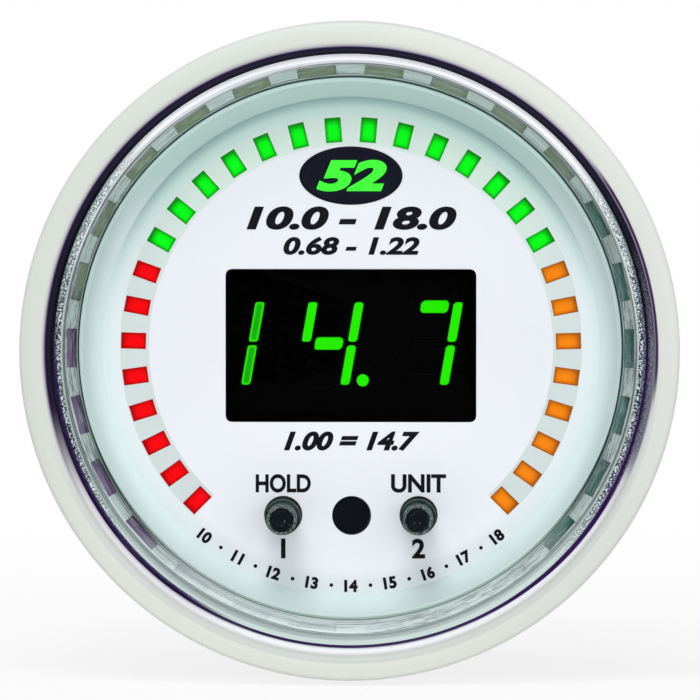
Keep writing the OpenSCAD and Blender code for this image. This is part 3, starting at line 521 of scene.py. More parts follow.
def printed_dial():
    """The dial: white, with the grey band that the lights sit in, painted light towards the bottom,
    and a cooler edge of painted teal light and shadow.
    """
    made = Finish("printed_dial", paint("face"), 0.42, 0.0, specular_ior_level=0.2)
    radius, right, up, height = made.around()
    face = paint("face")
    fibre = made.noise(0.25, 3, 0.6)
    white = made.mix(fibre, toned(face, 0.992), toned(face, 1.008))
    # painted light: lighter towards the bottom
    white = made.mix(made.step(up, 0.2, -0.9), white, toned(face, 1.07))
    # painted teal light and shadow near the edge, darkest at the top where the reflector shades the
    # dial
    top = made.step(up, 0.1, 0.85)
    low = made.step(up, -0.4, -0.9)
    painted_edge_shade = made.mix(low, made.mix(top, (0.80, 0.88, 0.90), (0.62, 0.82, 0.76)), (0.79, 0.84, 0.87))
    teal = made.mix(low, made.mix(top, (0.72, 0.84, 0.85), (0.34, 0.53, 0.51)), (0.76, 0.83, 0.85))
    white = made.mix(made.step(radius, 19.0, 20.2), white, painted_edge_shade)
    white = made.mix(made.step(radius, 20.2, 21.3), white, teal)
    inside = made.step(radius, 17.20, 17.24) * made.step(radius, 19.70, 19.66)
    swept = made.step(up + 0.737, 0.0, 0.008)
    grey = made.mix(top, paint("band"), (0.70, 0.84, 0.775))
    front = made.mix(inside * swept, white, grey)
    # the walls of the openings: a painted glow in the colour of the light beside them round the
    # lights, and painted shade in the other openings
    well = made.step(height, 1.575, 1.53)
    side = made.mix(made.step(right, -0.1, 0.1), (0.35, 0.01, 0.01), (0.30, 0.09, 0.01))
    side = made.mix(made.step(up, 0.37, 0.39), side, (0.01, 0.20, 0.02))
    side = made.mix(inside, (0.05, 0.07, 0.06), side)
    made.set("Base Color", made.mix(well, front, side))
    made.set("Roughness", 0.38 + fibre * 0.1)
    made.bump(fibre, 0.002)
    return made.material


def lit_window(name, base, shaded_tone):
    """A coloured lens with its light behind it, deeper in tone at its outer end and round its
    edges, as painted shade.
    """
    made = Finish(name, base, 0.3, 0.0, emission_strength=0.4, specular_ior_level=0.06)
    radius = made.around()[0]
    # painted shade: darker towards the outer end and round the edges, where the dial's recess
    # shades the lens
    glow = made.step(radius, 19.7, 18.6)
    cloud = made.noise(0.7, 2)
    tone = made.mix(glow * 0.75 + cloud * 0.25, shaded_tone, base)
    tone = made.mix(made.core(), toned(shaded_tone, 0.5), tone)
    made.set("Base Color", tone)
    made.set("Emission Color", tone)
    made.vary_roughness(0.2, 0.4, 0.6)
    made.bump(made.noise(0.15, 2), 0.004)
    return made.material


def lit_bar():
    """The lit bars of the digits: even green, with a darker core in the leading digit."""
    made = Finish("lit_bar", (0.01, 0.2, 0.0), 0.35, 0.0, emission_strength=1.15,
                  specular_ior_level=0.04)
    across = made.axes()[0]
    leading = made.step(across, -6.5, -7.0)
    cloud = made.noise(0.5, 2)
    bright = made.mix(cloud * 0.5, paint("digits"), (0.03, 0.88, 0.0))
    dark = made.mix(cloud, (0.004, 0.28, 0.004), (0.01, 0.55, 0.01))
    made.set("Emission Color", made.mix(made.core() * leading, bright, dark))
    made.bump(cloud, 0.003)
    return made.material


def smoked_filter():
    """The dark window over the digits."""
    made = Finish("smoked_filter", (0.0, 0.0, 0.0), 0.3, 0.0, specular_ior_level=0.02)
    made.set("Alpha", 0.16 + made.noise(2.0, 2) * 0.03)
    made.vary_roughness(0.25, 0.35, 1.0)
    return made.material


def gloss_badge():
    """The oval plate: nearly black, with a bright bevel."""
    made = Finish("gloss_badge", paint("badge"), 0.25, 0.0, specular_ior_level=0.03)
    made.vary(paint("badge"), 0.15, 1.0)
    made.vary_roughness(0.18, 0.3, 0.8)
    made.bump(made.noise(0.2, 2), 0.002)
    return made.material


def sleeve_metal():
    """The buttons' sleeves, grey with tool marks round their ends."""
    made = Finish("sleeve_metal", (0.3, 0.34, 0.34), 0.3, 0.3, specular_ior_level=0.3)
    height = made.axes()[1]
    ticks = made.noise(0.14, 3, 0.8)
    end = made.step(height, 7.9, 8.15)
    tone = made.mix(made.step(ticks, 0.50, 0.62), (0.035, 0.055, 0.055), (0.28, 0.34, 0.33))
    shaft = made.mix(made.step(height, 3.6, 7.4), (0.008, 0.04, 0.037), (0.01, 0.02, 0.02))
    made.set("Base Color", made.mix(end, shaft, tone))
    made.vary_roughness(0.22, 0.45, 0.3)
    made.bump(ticks, 0.012)
    return made.material


def button_plastic():
    """The buttons: black, with a few painted glints on their ends."""
    made = Finish("button_plastic", (0.003, 0.005, 0.007), 0.4, 0.0, specular_ior_level=0.05)
    height = made.axes()[1]
    # painted highlights: a few light glints on the ends
    painted_glint = made.step(made.noise(0.28, 3, 0.7), 0.62, 0.70) * made.step(height, 8.5, 8.58)
    made.set("Base Color", made.mix(painted_glint, (0.003, 0.006, 0.008), (0.10, 0.15, 0.16)))
    made.vary_roughness(0.3, 0.5, 0.4)
    made.bump(made.noise(0.1, 3), 0.006)
    return made.material


def board(name):
    """Green solder mask over copper tracks."""
    made = Finish(name, (0.01, 0.12, 0.05), 0.3, 0.0, coat_weight=0.4)
    across = made.axes()[0]
    weave = made.noise(0.2, 2)
    track = abs(made.sum("FRACT", across * 0.4 + made.noise(6.0, 1) * 1.4) - 0.5)
    copper = made.step(track, 0.12, 0.09)
    made.set("Base Color", made.mix(copper, (0.008, 0.10, 0.045), (0.02, 0.20, 0.08)))
    made.set("Roughness", 0.28 + weave * 0.12)
    made.bump(copper + weave * 0.2, 0.02)
    return made.material


def moulded_black():
    """The case: black glass-filled plastic with a fine spark-eroded texture."""
    made = Finish("moulded_black", paint("case"), 0.5, 0.0)
    grain = made.noise(0.10, 4, 0.65)
    sheen = made.noise(4.0, 3)
    base = paint("case")
    made.set("Base Color", made.mix(sheen, toned(base, 0.8), toned(base, 1.35)))
    made.set("Roughness", 0.44 + sheen * 0.14)
    made.bump(grain, 0.02, 0.8)
    return made.material


def brushed(name, base, scale, rough=(0.28, 0.42), metallic=0.95):
    """Metal with a brushed grain that runs one way."""
    made = Finish(name, base, rough[0], metallic)
    streaks = made.noise(1.0, 3, 0.6, 0, made.stretched(*scale))
    cloud = made.noise(3.0, 3)
    made.set("Base Color", made.mix(
        streaks * 0.6 + cloud * 0.4, toned(base, 0.86), toned(base, 1.1)))
    made.set("Roughness", rough[0] + streaks * (rough[1] - rough[0]))
    made.bump(streaks, 0.004)
    return made.material


def printed_ink(name, base):
    """Screen-printed ink, with a little unevenness."""
    return plain(name, base, 0.1, 0.5, (0.35, 0.5), grain=0.1, relief=0.002,
                 specular_ior_level=0.05)


MAKERS = {
    "satin_rim": satin_rim,
    "clear_lens": clear_lens,
    "seat_metal": seat_metal,
    "pale_teal": pale_teal,
    "printed_dial": printed_dial,
    "gloss_badge": gloss_badge,
    "smoked_filter": smoked_filter,
    "lit_bar": lit_bar,
    "sleeve_metal": sleeve_metal,
    "moulded_black": moulded_black,
    "green_window": lambda: lit_window("green_window", paint("green"), (0.0, 0.24, 0.004)),
    "red_window": lambda: lit_window("red_window", paint("red"), (0.50, 0.0, 0.001)),
    "amber_window": lambda: lit_window("amber_window", paint("amber"), (0.50, 0.12, 0.002)),
    "ink": lambda: printed_ink("ink", paint("ink")),
    "green_ink": lambda: plain("green_ink", (0.02, 0.85, 0.01), 0.06, 0.8, (0.3, 0.4),
                               emission_color=(0.02, 0.9, 0.01), emission_strength=0.35),
    "rubber": lambda: plain("rubber", (0.02, 0.02, 0.022), 0.2, 1.5, (0.7, 0.85), grain=0.12,
                            relief=0.01),
    "sensor_glass": lambda: plain("sensor_glass", (0.0035, 0.005, 0.009), 0.1, 1.0, (0.3, 0.4),
                                  relief=0.001, specular_ior_level=0.03),
    "baffle": lambda: plain("baffle", (0.03, 0.03, 0.034), 0.15, 1.5, (0.55, 0.7), relief=0.006),
    "led_epoxy": lambda: plain("led_epoxy", (0.8, 0.75, 0.5), 0.05, 0.4, (0.15, 0.3)),
    "digit_black": lambda: plain("digit_black", (0.001, 0.001, 0.001), 0.2, 1.0, (0.45, 0.6),
                                 specular_ior_level=0.02),
    "dark_bar": lambda: plain("dark_bar", (0.001, 0.0015, 0.001), 0.15, 0.6, (0.4, 0.55),
                              specular_ior_level=0.02),
    "tinned": lambda: plain("tinned", (0.6, 0.6, 0.58), 0.1, 0.6, (0.2, 0.35), 0.9, 0.1, 0.006),
    "display_board": lambda: board("display_board"),
    "control_board": lambda: board("control_board"),
    "chip_epoxy": lambda: plain("chip_epoxy", (0.02, 0.02, 0.022), 0.15, 1.0, (0.5, 0.65),
                                grain=0.06, relief=0.006),
    "button_plastic": button_plastic,
    "spring_steel": lambda: brushed("spring_steel", (0.6, 0.58, 0.52), (0.5, 4, 8)),
    "brass": lambda: brushed("brass", (0.7, 0.52, 0.22), (1, 12, 1)),
    "screw_steel": lambda: brushed("screw_steel", (0.5, 0.51, 0.53), (1, 14, 1)),
    "can_sleeve": lambda: plain("can_sleeve", (0.04, 0.06, 0.18), 0.12, 2.0, (0.2, 0.35),
                                coat_weight=0.3),
    "gold": lambda: plain("gold", (0.78, 0.56, 0.2), 0.06, 0.8, (0.15, 0.3), 1.0, 0.08, 0.003),
    "cream_nylon": lambda: plain("cream_nylon", (0.74, 0.71, 0.61), 0.05, 2.5, (0.38, 0.5),
                                 grain=0.15, relief=0.006),
    "zinc_strip": lambda: brushed("zinc_strip", paint("zinc"), (0.25, 1.0, 9.0)),
    "zinc_steel": lambda: brushed("zinc_steel", paint("zinc"), (2.0, 9.0, 2.0)),
}


# ---------------------------------------------------------------- meshes, face up, in millimetres

def profile_corner(before, corner, after, radius, steps):
    """Points that round one corner of an outline."""
    ahead, behind = Vector(after) - Vector(corner), Vector(before) - Vector(corner)
    reach = min(radius, ahead.length * 0.48, behind.length * 0.48)
    if reach < 1e-4:
        return [tuple(corner)]
    first = Vector(corner) + behind.normalized() * reach
    last = Vector(corner) + ahead.normalized() * reach
    points = []
    for i in range(steps + 1):
        t = i / steps
        points.append(tuple(first * (1 - t) ** 2 + Vector(corner) * 2 * t * (1 - t) + last * t * t))
    return points


def rounded(outline, steps=4):
    """A closed outline of (x, y, corner radius) points, with its corners rounded."""
    points = []
    count = len(outline)
    for i, (x, y, radius) in enumerate(outline):
        before, after = outline[i - 1][:2], outline[(i + 1) % count][:2]
        if radius:
            points += profile_corner(before, (x, y), after, radius, steps)
        else:
            points.append((x, y))
    return points


def lathe(profile, steps=288):
    """A solid turned from a closed profile of (radius, height) points."""
    bm = bmesh.new()
    rows = []
    for r, z in profile:
        if r < 1e-5:
            rows.append([bm.verts.new((0, 0, z))] * steps)
        else:
            rows.append([bm.verts.new((r * math.cos(FULL_TURN * i / steps),
                                       r * math.sin(FULL_TURN * i / steps), z))
                         for i in range(steps)])
    for here, there in zip(rows, rows[1:] + rows[:1]):
        for i in range(steps):
            j = (i + 1) % steps
            corners = []
            for vert in (here[i], here[j], there[j], there[i]):
                if vert not in corners:
                    corners.append(vert)
            if len(corners) > 2:
                bm.faces.new(corners)
    bmesh.ops.recalc_face_normals(bm, faces=bm.faces)
    return bm


def wall(bm, layers):
    """Joins closed outlines, each with a height, into a capped solid; gives its rows of points."""
    rows = [[bm.verts.new((x, y, z)) for x, y in points] for points, z in layers]
    for here, there in zip(rows, rows[1:]):
        for i in range(len(here)):
            j = (i + 1) % len(here)
            bm.faces.new((here[i], here[j], there[j], there[i]))
    bm.faces.new(rows[0])
    bm.faces.new(rows[-1])
    return rows


def stack(layers):
    """A solid from closed outlines of equal count, each with a height: (points, height)."""
    bm = bmesh.new()
    wall(bm, layers)
    bmesh.ops.recalc_face_normals(bm, faces=bm.faces)
    return bm


def cored(pieces):
    """Solids from rows of (points, height, share), whose shares run from edge to core."""
    bm = bmesh.new()
    core = bm.verts.layers.float.new("core")
    for rows in pieces:
        made = wall(bm, [(points, height) for points, height, _ in rows])
        for row, (_, _, share) in zip(made, rows):
            for vert in row:
                vert[core] = share
    bmesh.ops.recalc_face_normals(bm, faces=bm.faces)
    return bm


def placed(name, data):
    """A new object in the scene."""
    obj = bpy.data.objects.new(name, data)
    bpy.context.scene.collection.objects.link(obj)
    return obj


def solid(name, bm):
    """An object from a bmesh that is drawn face up, in millimetres."""
    mesh = bpy.data.meshes.new(name)
    bm.to_mesh(mesh)
    bm.free()
    return placed(name, mesh)


def settle(obj):
    """Turns the object's modifiers into its mesh."""
    bpy.context.view_layer.update()
    graph = bpy.context.evaluated_depsgraph_get()
    mesh = bpy.data.meshes.new_from_object(obj.evaluated_get(graph))
    obj.modifiers.clear()
    old = obj.data
    obj.data = mesh
    if old.users == 0:
        (bpy.data.meshes if isinstance(old, bpy.types.Mesh) else bpy.data.curves).remove(old)
    return obj


def combine(obj, operation, *tools):
    """Cuts tools out of an object, or keeps what they have in common, and removes the tools."""
    for tool in tools:
        modifier = obj.modifiers.new("tool", "BOOLEAN")
        modifier.operation = operation
        modifier.solver = "EXACT"
        modifier.object = tool
    settle(obj)
    for tool in tools:
        drop(tool)
    return obj


def drop(obj):
    mesh = obj.data
    bpy.data.objects.remove(obj)
    if mesh.users == 0:
        bpy.data.meshes.remove(mesh)


def moved(obj, x=0.0, y=0.0, z=0.0, turn=0.0):
    """Turns an object's mesh about the axis and then shifts it."""
    obj.data.transform(Matrix.Translation((x, y, z)) @ Matrix.Rotation(turn, 4, "Z"))
    return obj


def join(name, objs):
    """One object from several, without operators."""
    bm = bmesh.new()
    for obj in objs:
        bm.from_mesh(obj.data)
    for obj in objs:
        drop(obj)
    return solid(name, bm)


def present(obj, look, body=GAUGE, nodes=(), angle=32, face_up=True):
    """Gives a finished piece its material, its place, its body and what it stands for."""
    mesh = obj.data
    if face_up:
        mesh.transform(FACING)
    mesh.materials.clear()
    mesh.materials.append(finish(look))
    mesh.shade_smooth()
    mesh.set_sharp_from_angle(angle=math.radians(angle))
    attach(obj, body)
    if nodes:
        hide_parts(*nodes)
    return obj


# ---------------------------------------------------------------- geometry trees

class Pattern(Graph):
    """A geometry tree with named inputs that ends in Realize Instances and Set Material."""

    def __init__(self, name, **inputs):
        super().__init__(bpy.data.node_groups.new(name, "GeometryNodeTree"))
        self.keys = {}
        self.socket("Geometry", "Geometry")
        self.tree.interface.new_socket("Geometry", in_out="OUTPUT",
                                       socket_type="NodeSocketGeometry")
        for key, kind in inputs.items():
            self.socket(self.label(key), kind)
        self.socket("Material", "Material")
        self.entry = self.tree.nodes.new("NodeGroupInput")
        self.leave = self.tree.nodes.new("NodeGroupOutput")

    def label(self, key):
        return key.replace("_", " ").capitalize()

    def socket(self, name, kind):
        item = self.tree.interface.new_socket(name, in_out="INPUT",
                                              socket_type="NodeSocket" + kind)
        self.keys[name] = item.identifier

    def asked(self, name):
        return Term(self, self.entry.outputs[name])

    def made(self, kind, settings=None, inputs=None):
        """A node's first output."""
        return self.term(self.node(kind, settings, inputs))

    def line(self, count):
        """Points in one place, and the index that tells them apart."""
        points = self.made("GeometryNodeMeshLine", {"mode": "OFFSET"},
                           {"Count": count, "Offset": (0, 0, 0)})
        return points, self.made("GeometryNodeInputIndex")

    def copies(self, points, piece, **inputs):
        return self.made("GeometryNodeInstanceOnPoints", None,
                         {"Points": points, "Instance": piece, **inputs})

    def shifted(self, points, place):
        return self.made("GeometryNodeSetPosition", None, {0: points, "Position": place})

    def realized(self, instances):
        return self.made("GeometryNodeRealizeInstances", None, {0: instances})

    def close(self, geometry):
        painted = self.made("GeometryNodeSetMaterial", None,
                            {0: self.realized(geometry), "Material": self.asked("Material")})
        self.feed(self.leave.inputs[0], painted)
        return self

    def run(self, obj, look, **values):
        """Runs the tree on an object and turns the result into its mesh."""
        modifier = obj.modifiers.new("pattern", "NODES")
        modifier.node_group = self.tree
        modifier[self.keys["Material"]] = finish(look)
        for key, value in values.items():
            modifier[self.keys[self.label(key)]] = value
        return settle(obj)


def ring_pattern():
    """Repeats a piece round the axis: so many, from a first angle, one step apart."""
    made = Pattern("Round the axis", Count="Int", First="Float", Step="Float")
    points, index = made.line(made.asked("Count"))
    spin = made.vector(z=made.asked("First") + index * made.asked("Step"))
    return made.close(made.copies(points, made.asked("Geometry"), Rotation=spin))


def row_pattern():
    """Repeats a piece in rows: so many across and up, one step apart, about the middle."""
    made = Pattern("In rows", Across="Int", Up="Int", Step_across="Float", Step_up="Float")
    across, up = made.asked("Across"), made.asked("Up")
    points, index = made.line(across * up)
    level = made.sum("FLOOR", index / across + 0.001)
    column = index - level * across
    place = made.vector((column - (across - 1) / 2) * made.asked("Step across"),
                        (level - (up - 1) / 2) * made.asked("Step up"))
    return made.close(made.copies(made.shifted(points, place), made.asked("Geometry")))


def notch_pattern():
    """Cuts notches out of a ring: blocks round the axis, taken from the ring."""
    made = Pattern("Notched ring", Count="Int", Radius="Float", Block="Vector", Height="Float")
    block = made.made("GeometryNodeMeshCube", None, {"Size": made.asked("Block")})
    lifted = made.made("GeometryNodeTransform", None, {
        0: block, "Translation": made.vector(0, made.asked("Radius"), made.asked("Height"))})
    points, index = made.line(made.asked("Count"))
    spin = made.vector(z=(index + 0.5) * FULL_TURN / made.asked("Count"))
    blocks = made.realized(made.copies(points, lifted, Rotation=spin))
    return made.close(made.made(
        "GeometryNodeMeshBoolean", {"operation": "DIFFERENCE", "solver": "EXACT"},
        {0: made.asked("Geometry"), 1: blocks}))


def thread_pattern():
    """Presses a thread into a shaft along the axis, between two heights."""
    made = Pattern("Thread", Pitch="Float", Depth="Float", From="Float", To="Float")
    x, y, z = made.split(made.made("GeometryNodeInputPosition"))
    pitch, low, high = made.asked("Pitch"), made.asked("From"), made.asked("To")
    turn = made.sum("ARCTAN2", y, x) / FULL_TURN
    wave = abs(made.sum("FRACT", z / pitch - turn) * 2 - 1)
    ends = made.step(z, low, low + pitch) * made.step(z, high, high - pitch)
    radius = made.sum("SQRT", x * x + y * y + 1e-9)
    shrink = 1 - wave * ends * made.asked("Depth") / radius
    return made.close(made.shifted(
        made.asked("Geometry"), made.vector(x * shrink, y * shrink, z)))


PATTERNS = {}


def pattern(maker):
    """The geometry tree that a function builds, made once."""
    if maker not in PATTERNS:
        PATTERNS[maker] = maker()
    return PATTERNS[maker]


# ---------------------------------------------------------------- pieces

class GaugeOperator:
    """What the gauge's operators share."""
    bl_options = {"REGISTER", "UNDO"}


class GAUGE_OT_bezel(GaugeOperator, bpy.types.Operator):
    """Build the satin bezel with its polished throat"""
    bl_idname = "gauge.bezel"
    bl_label = "Bezel"

    def execute(self, context):
        s = rings()
        out, top, lip, foot = s["bezel_r"], s["bezel_h"], s["opening_r"], s["throat_r"]
        sheet = 0.7
        profile = rounded([
            (26.25, 0, 0.1), (out - 0.25, 0, 0.5), (out, top - 0.25, 1.2),
            (out - 0.9, top - 0.03, 0.3),
            (lip, top, 0.55), (foot, s["throat_foot"], 0.1),
            (foot + sheet, s["throat_foot"], 0.1), (lip + sheet, top - 0.9, 0.2),
            (out - sheet, top - 0.9, 0.5), (out - 0.25 - sheet, sheet, 0.1),
            (26.25, sheet, 0.1)], 8)
        bezel = solid("bezel_shell", lathe(profile, 360))
        present(bezel, "satin_rim", GAUGE, ["bezel"], 40)
        return {"FINISHED"}


class GAUGE_OT_lens(GaugeOperator, bpy.types.Operator):
    """Build the clear lens with its flange and the bores for the buttons"""
    bl_idname = "gauge.lens"
    bl_label = "Lens"

    def execute(self, context):
        s, d = rings(), dial()
        step = s["lens_back"] + 1
        edge = rounded([(s["lens_r"], step, 0.05), (s["lens_r"], s["lens_front"], 0.85),
                        (20, s["lens_front"], 0), (20, step, 0)], 10)
        edge = [p for p in edge if p[0] > 20.01]
        profile = [(0, s["lens_back"]), (12, s["lens_back"]), (20, s["lens_back"]),
                   (s["flange_r"], s["lens_back"]), (s["flange_r"], step)] + edge + [
                   (20, s["lens_front"]), (12, s["lens_front"]), (0, s["lens_front"])]
        lens = solid("lens_clear", lathe(profile, 288))
        tools = []
        for _, side in BUTTONS:
            tool = solid("bore", lathe([(0, 4), (d["sleeve_r"] + 0.03, 4),
                                        (d["sleeve_r"] + 0.03, 8), (0, 8)], 48))
            tools.append(moved(tool, side * d["button_x"], -d["button_drop"]))
        combine(lens, "DIFFERENCE", *tools)
        present(lens, "clear_lens", GAUGE, ["lens"], 40)
        return {"FINISHED"}


class GAUGE_OT_seat(GaugeOperator, bpy.types.Operator):
    """Build the bright ring with its cone and its notched ledge"""
    bl_idname = "gauge.seat"
    bl_label = "Lens seat"

    def execute(self, context):
        s = rings()
        profile = rounded([
            (s["ledge_in_r"], 1.9, 0.05), (s["flange_r"], 1.9, 0.1),
            (s["flange_r"], s["lens_back"], 0.1), (s["throat_r"], s["lens_back"], 0.05),
            (s["ledge_out_r"], s["ledge_h"], 0.12), (s["ledge_in_r"], s["ledge_h"], 0.06)], 4)
        ring = solid("seat_ring", lathe(profile, 312))
        width = FULL_TURN / s["notches"] * 0.59 * s["ledge_in_r"]
        middle = (s["ledge_in_r"] + s["ledge_out_r"]) / 2
        pattern(notch_pattern).run(
            ring, "seat_metal", Count=s["notches"], Radius=middle, Block=(width, 0.85, 1.0),
            Height=s["ledge_h"])
        present(ring, "seat_metal", GAUGE, ["lens_seat_ring"], 30)
        return {"FINISHED"}


class GAUGE_OT_reflector(GaugeOperator, bpy.types.Operator):
    """Build the pale teal wall between the dial and the lens"""
    bl_idname = "gauge.reflector"
    bl_label = "Reflector"

    def execute(self, context):
        s, d = rings(), dial()
        out, foot = s["reflector_r"], s["reflector_foot_r"]
        low, high = d["dial_front"], s["lens_back"] - 0.04
        slope = [(out - 0.3, high), (out - 0.38, high - 0.12)]
        for i in range(1, 12):
            t = i / 12
            slope.append((out - 0.38 + (foot + 0.06 - out + 0.38) * (t ** 1.25),
                          high - 0.12 + (low + 0.1 - high + 0.12) * t))
        collar = s["ledge_in_r"] - 0.02
        profile = [(foot, low), (out, low), (out, high - 0.9), (collar, high - 0.9),
                   (collar, high - 0.8), (out, high - 0.8), (out, high)]
        profile += slope + [(foot + 0.02, low + 0.06)]
        ring = solid("reflector_wall", lathe(profile, 288))
        present(ring, "pale_teal", GAUGE, ["reflector_ring"], 50)
        return {"FINISHED"}


def closed_spline(curve, points):
    spline = curve.splines.new("POLY")
    spline.points.add(len(points) - 1)
    for point, (x, y) in zip(spline.points, points):
        point.co = (x, y, 0, 1)
    spline.use_cyclic_u = True


def filled(curve):
    """The faces of a flat curve or of text, as a bmesh; the curve is removed."""
    drawn = placed(curve.name, curve)
    graph = bpy.context.evaluated_depsgraph_get()
    mesh = bpy.data.meshes.new_from_object(drawn.evaluated_get(graph))
    bpy.data.objects.remove(drawn)
    bpy.data.curves.remove(curve)
    bm = bmesh.new()
    bm.from_mesh(mesh)
    bpy.data.meshes.remove(mesh)
    return bm


def circle(x, y, radius, steps=64):
    turns = [FULL_TURN * i / steps for i in range(steps)]
    return [(x + radius * math.cos(turn), y + radius * math.sin(turn)) for turn in turns]


def window(turn, width, tall, radius):
    """Corners of a window whose middle lies on the ring of lights."""
    spin = Matrix.Rotation(-turn, 2)
    return [tuple(spin @ Vector((x * width / 2, radius + y * tall / 2)))
            for x, y in ((-1, -1), (1, -1), (1, 1), (-1, 1))]


LIGHT_COUNTS = (("red", 8), ("green", 14), ("amber", 8))
LIGHT_SWEEP = math.radians(270)
LIGHT_STEP = LIGHT_SWEEP / (sum(count for _, count in LIGHT_COUNTS) - 1)


class GAUGE_OT_dial(GaugeOperator, bpy.types.Operator):
    """Build the white dial with its openings"""
    bl_idname = "gauge.dial"
    bl_label = "Dial"

    def execute(self, context):
        d = dial()
        soft = 0.03
        outline = bpy.data.curves.new("dial_plate", "CURVE")
        outline.dimensions = "2D"
        outline.fill_mode = "BOTH"
        outline.extrude = (d["dial_front"] - d["dial_back"]) / 2 - soft
        outline.bevel_depth = soft
        outline.bevel_resolution = 1
        outline.offset = -soft
        closed_spline(outline, circle(0, 0, 24.8, 288))
        for i in range(sum(count for _, count in LIGHT_COUNTS)):
            turn = -LIGHT_SWEEP / 2 + i * LIGHT_STEP
            closed_spline(outline, window(turn, d["light_w"], d["light_l"], d["light_ring_r"]))
        wide, tall = d["display_w"] / 2, d["display_h"] / 2
        closed_spline(outline, rounded([(x * wide, 0.1 + y * tall, 0.62) for x, y in
                                        ((-1, -1), (1, -1), (1, 1), (-1, 1))], 8))
        oval = [(x * (d["badge_w"] + 0.06) / 2, d["badge_y"] + y * (d["badge_h"] + 0.06) / 2)
                for x, y in circle(0, 0, 1, 96)]
        closed_spline(outline, oval)
        for x, extra in ((-d["button_x"], 0), (0.06, 0.04), (d["button_x"], 0)):
            closed_spline(outline, circle(x, -d["button_drop"] - extra, d["hole_r"] + extra))
        for side in (-1, 1):
            turn = math.radians(35) * side
            closed_spline(outline, circle(22.3 * math.sin(turn), -22.3 * math.cos(turn), 0.64, 24))
        bm = filled(outline)
        bmesh.ops.remove_doubles(bm, verts=bm.verts, dist=0.0005)
        bmesh.ops.recalc_face_normals(bm, faces=bm.faces)
        made = solid("dial_plate", bm)
        moved(made, z=(d["dial_front"] + d["dial_back"]) / 2)
        present(made, "printed_dial", GAUGE, ["dial_face"], 20)
        return {"FINISHED"}


class GAUGE_OT_lights(GaugeOperator, bpy.types.Operator):
    """Build the thirty coloured lenses round the dial"""
    bl_idname = "gauge.lights"
    bl_label = "Lights"
    levels = ((-0.1, 0.8, 0), (-0.1, 0.04, 0), (-0.06, 0, 0), (0.0, 0, 0.2), (0.12, 0, 0.6),
              (0.36, 0, 1))

    def execute(self, context):
        d = dial()
        first = LIGHT_SWEEP / 2
        for name, count in LIGHT_COUNTS:
            rows = [(window(0, d["light_w"] - 2 * inset, d["light_l"] - 2 * inset,
                            d["light_ring_r"]), d["dial_back"] - down, share)
                    for inset, down, share in self.levels]
            chip = solid(name + "_windows", cored([rows]))
            pattern(ring_pattern).run(chip, name + "_window", Count=count, First=first,
                                      Step=-LIGHT_STEP)
            present(chip, name + "_window", GAUGE, [name + "_lenses"])
            first -= count * LIGHT_STEP
        return {"FINISHED"}


def oval_ring(width, tall, y):
    return [(px * width / 2, y + py * tall / 2) for px, py in circle(0, 0, 1, 120)]


class GAUGE_OT_badge(GaugeOperator, bpy.types.Operator):
    """Build the dark oval plate with its bevel"""
    bl_idname = "gauge.badge"
    bl_label = "Badge"

    def execute(self, context):
        d = dial()
        w, h, y, back = d["badge_w"], d["badge_h"], d["badge_y"], d["dial_back"]
        layers = [(0, 0.0), (0, 0.52), (0.10, 0.58), (0.2, 0.6), (0.34, 0.595), (0.48, 0.56),
                  (0.7, 0.555)]
        plate = solid("badge_oval", stack([
            (oval_ring(w - 2 * inset, h - 2 * inset, y), back + lift) for inset, lift in layers]))
        present(plate, "gloss_badge", GAUGE, ["badge_plate"], 40)
        return {"FINISHED"}


BAR_PLACES = {"a": (0, 1), "b": (1, 1), "c": (1, -1), "d": (0, -1), "e": (-1, -1), "f": (-1, 1),
              "g": (0, 0)}
LIT_BARS = ("bc", "bcfg", "abc")
DIGIT_PITCH = 8.46
DIGIT_MIDDLE = (-1.9, 0.2)
SLANT = math.tan(math.radians(10))


def bar_outline(letter, x, y, inset):
    """Outline of one bar of a digit, shrunk by an inset."""
    level = letter in "adg"
    share_x, share_y = BAR_PLACES[letter]
    long, wide = ((2.37, 1.04) if level else (3.35, 0.78))
    half_l, half_w = long / 2 - inset, wide / 2 - inset
    cut = 0.16 if inset < 0.3 else 0.05
    along = rounded([(-half_l, -half_w, cut), (half_l, -half_w, cut), (half_l, half_w, cut),
                     (-half_l, half_w, cut)], 3)
    middle = (share_x * 1.97, share_y * (3.15 if level else 1.84))
    points = []
    for u, v in along:
        px, py = (u, v) if level else (-v, u)
        px, py = middle[0] + px, middle[1] + py
        points.append((x + px + py * SLANT, y + py))
    return points


class GAUGE_OT_digits(GaugeOperator, bpy.types.Operator):
    """Build the lit bars and the decimal point"""
    bl_idname = "gauge.digits"
    bl_label = "Digits"

    def execute(self, context):
        levels = ((0.0, -0.1, 0), (0.0, 0.23, 0), (0.03, 0.26, 0), (0.12, 0.26, 0.15),
                  (0.22, 0.26, 1))
        x0, y0 = DIGIT_MIDDLE
        pieces = []
        for number, letters in enumerate(LIT_BARS):
            x = x0 + (number - 1) * DIGIT_PITCH
            for letter in letters:
                pieces.append([(bar_outline(letter, x, y0, inset), height, share)
                               for inset, height, share in levels])
        point_x = x0 + 3.44 - 3.15 * SLANT
        pieces.append([(circle(point_x, y0 - 3.15, 0.51 - inset, 32), height, share)
                       for inset, height, share in levels])
        present(solid("digit_bars", cored(pieces)), "lit_bar", GAUGE,
                ["lit_segments"])
        return {"FINISHED"}


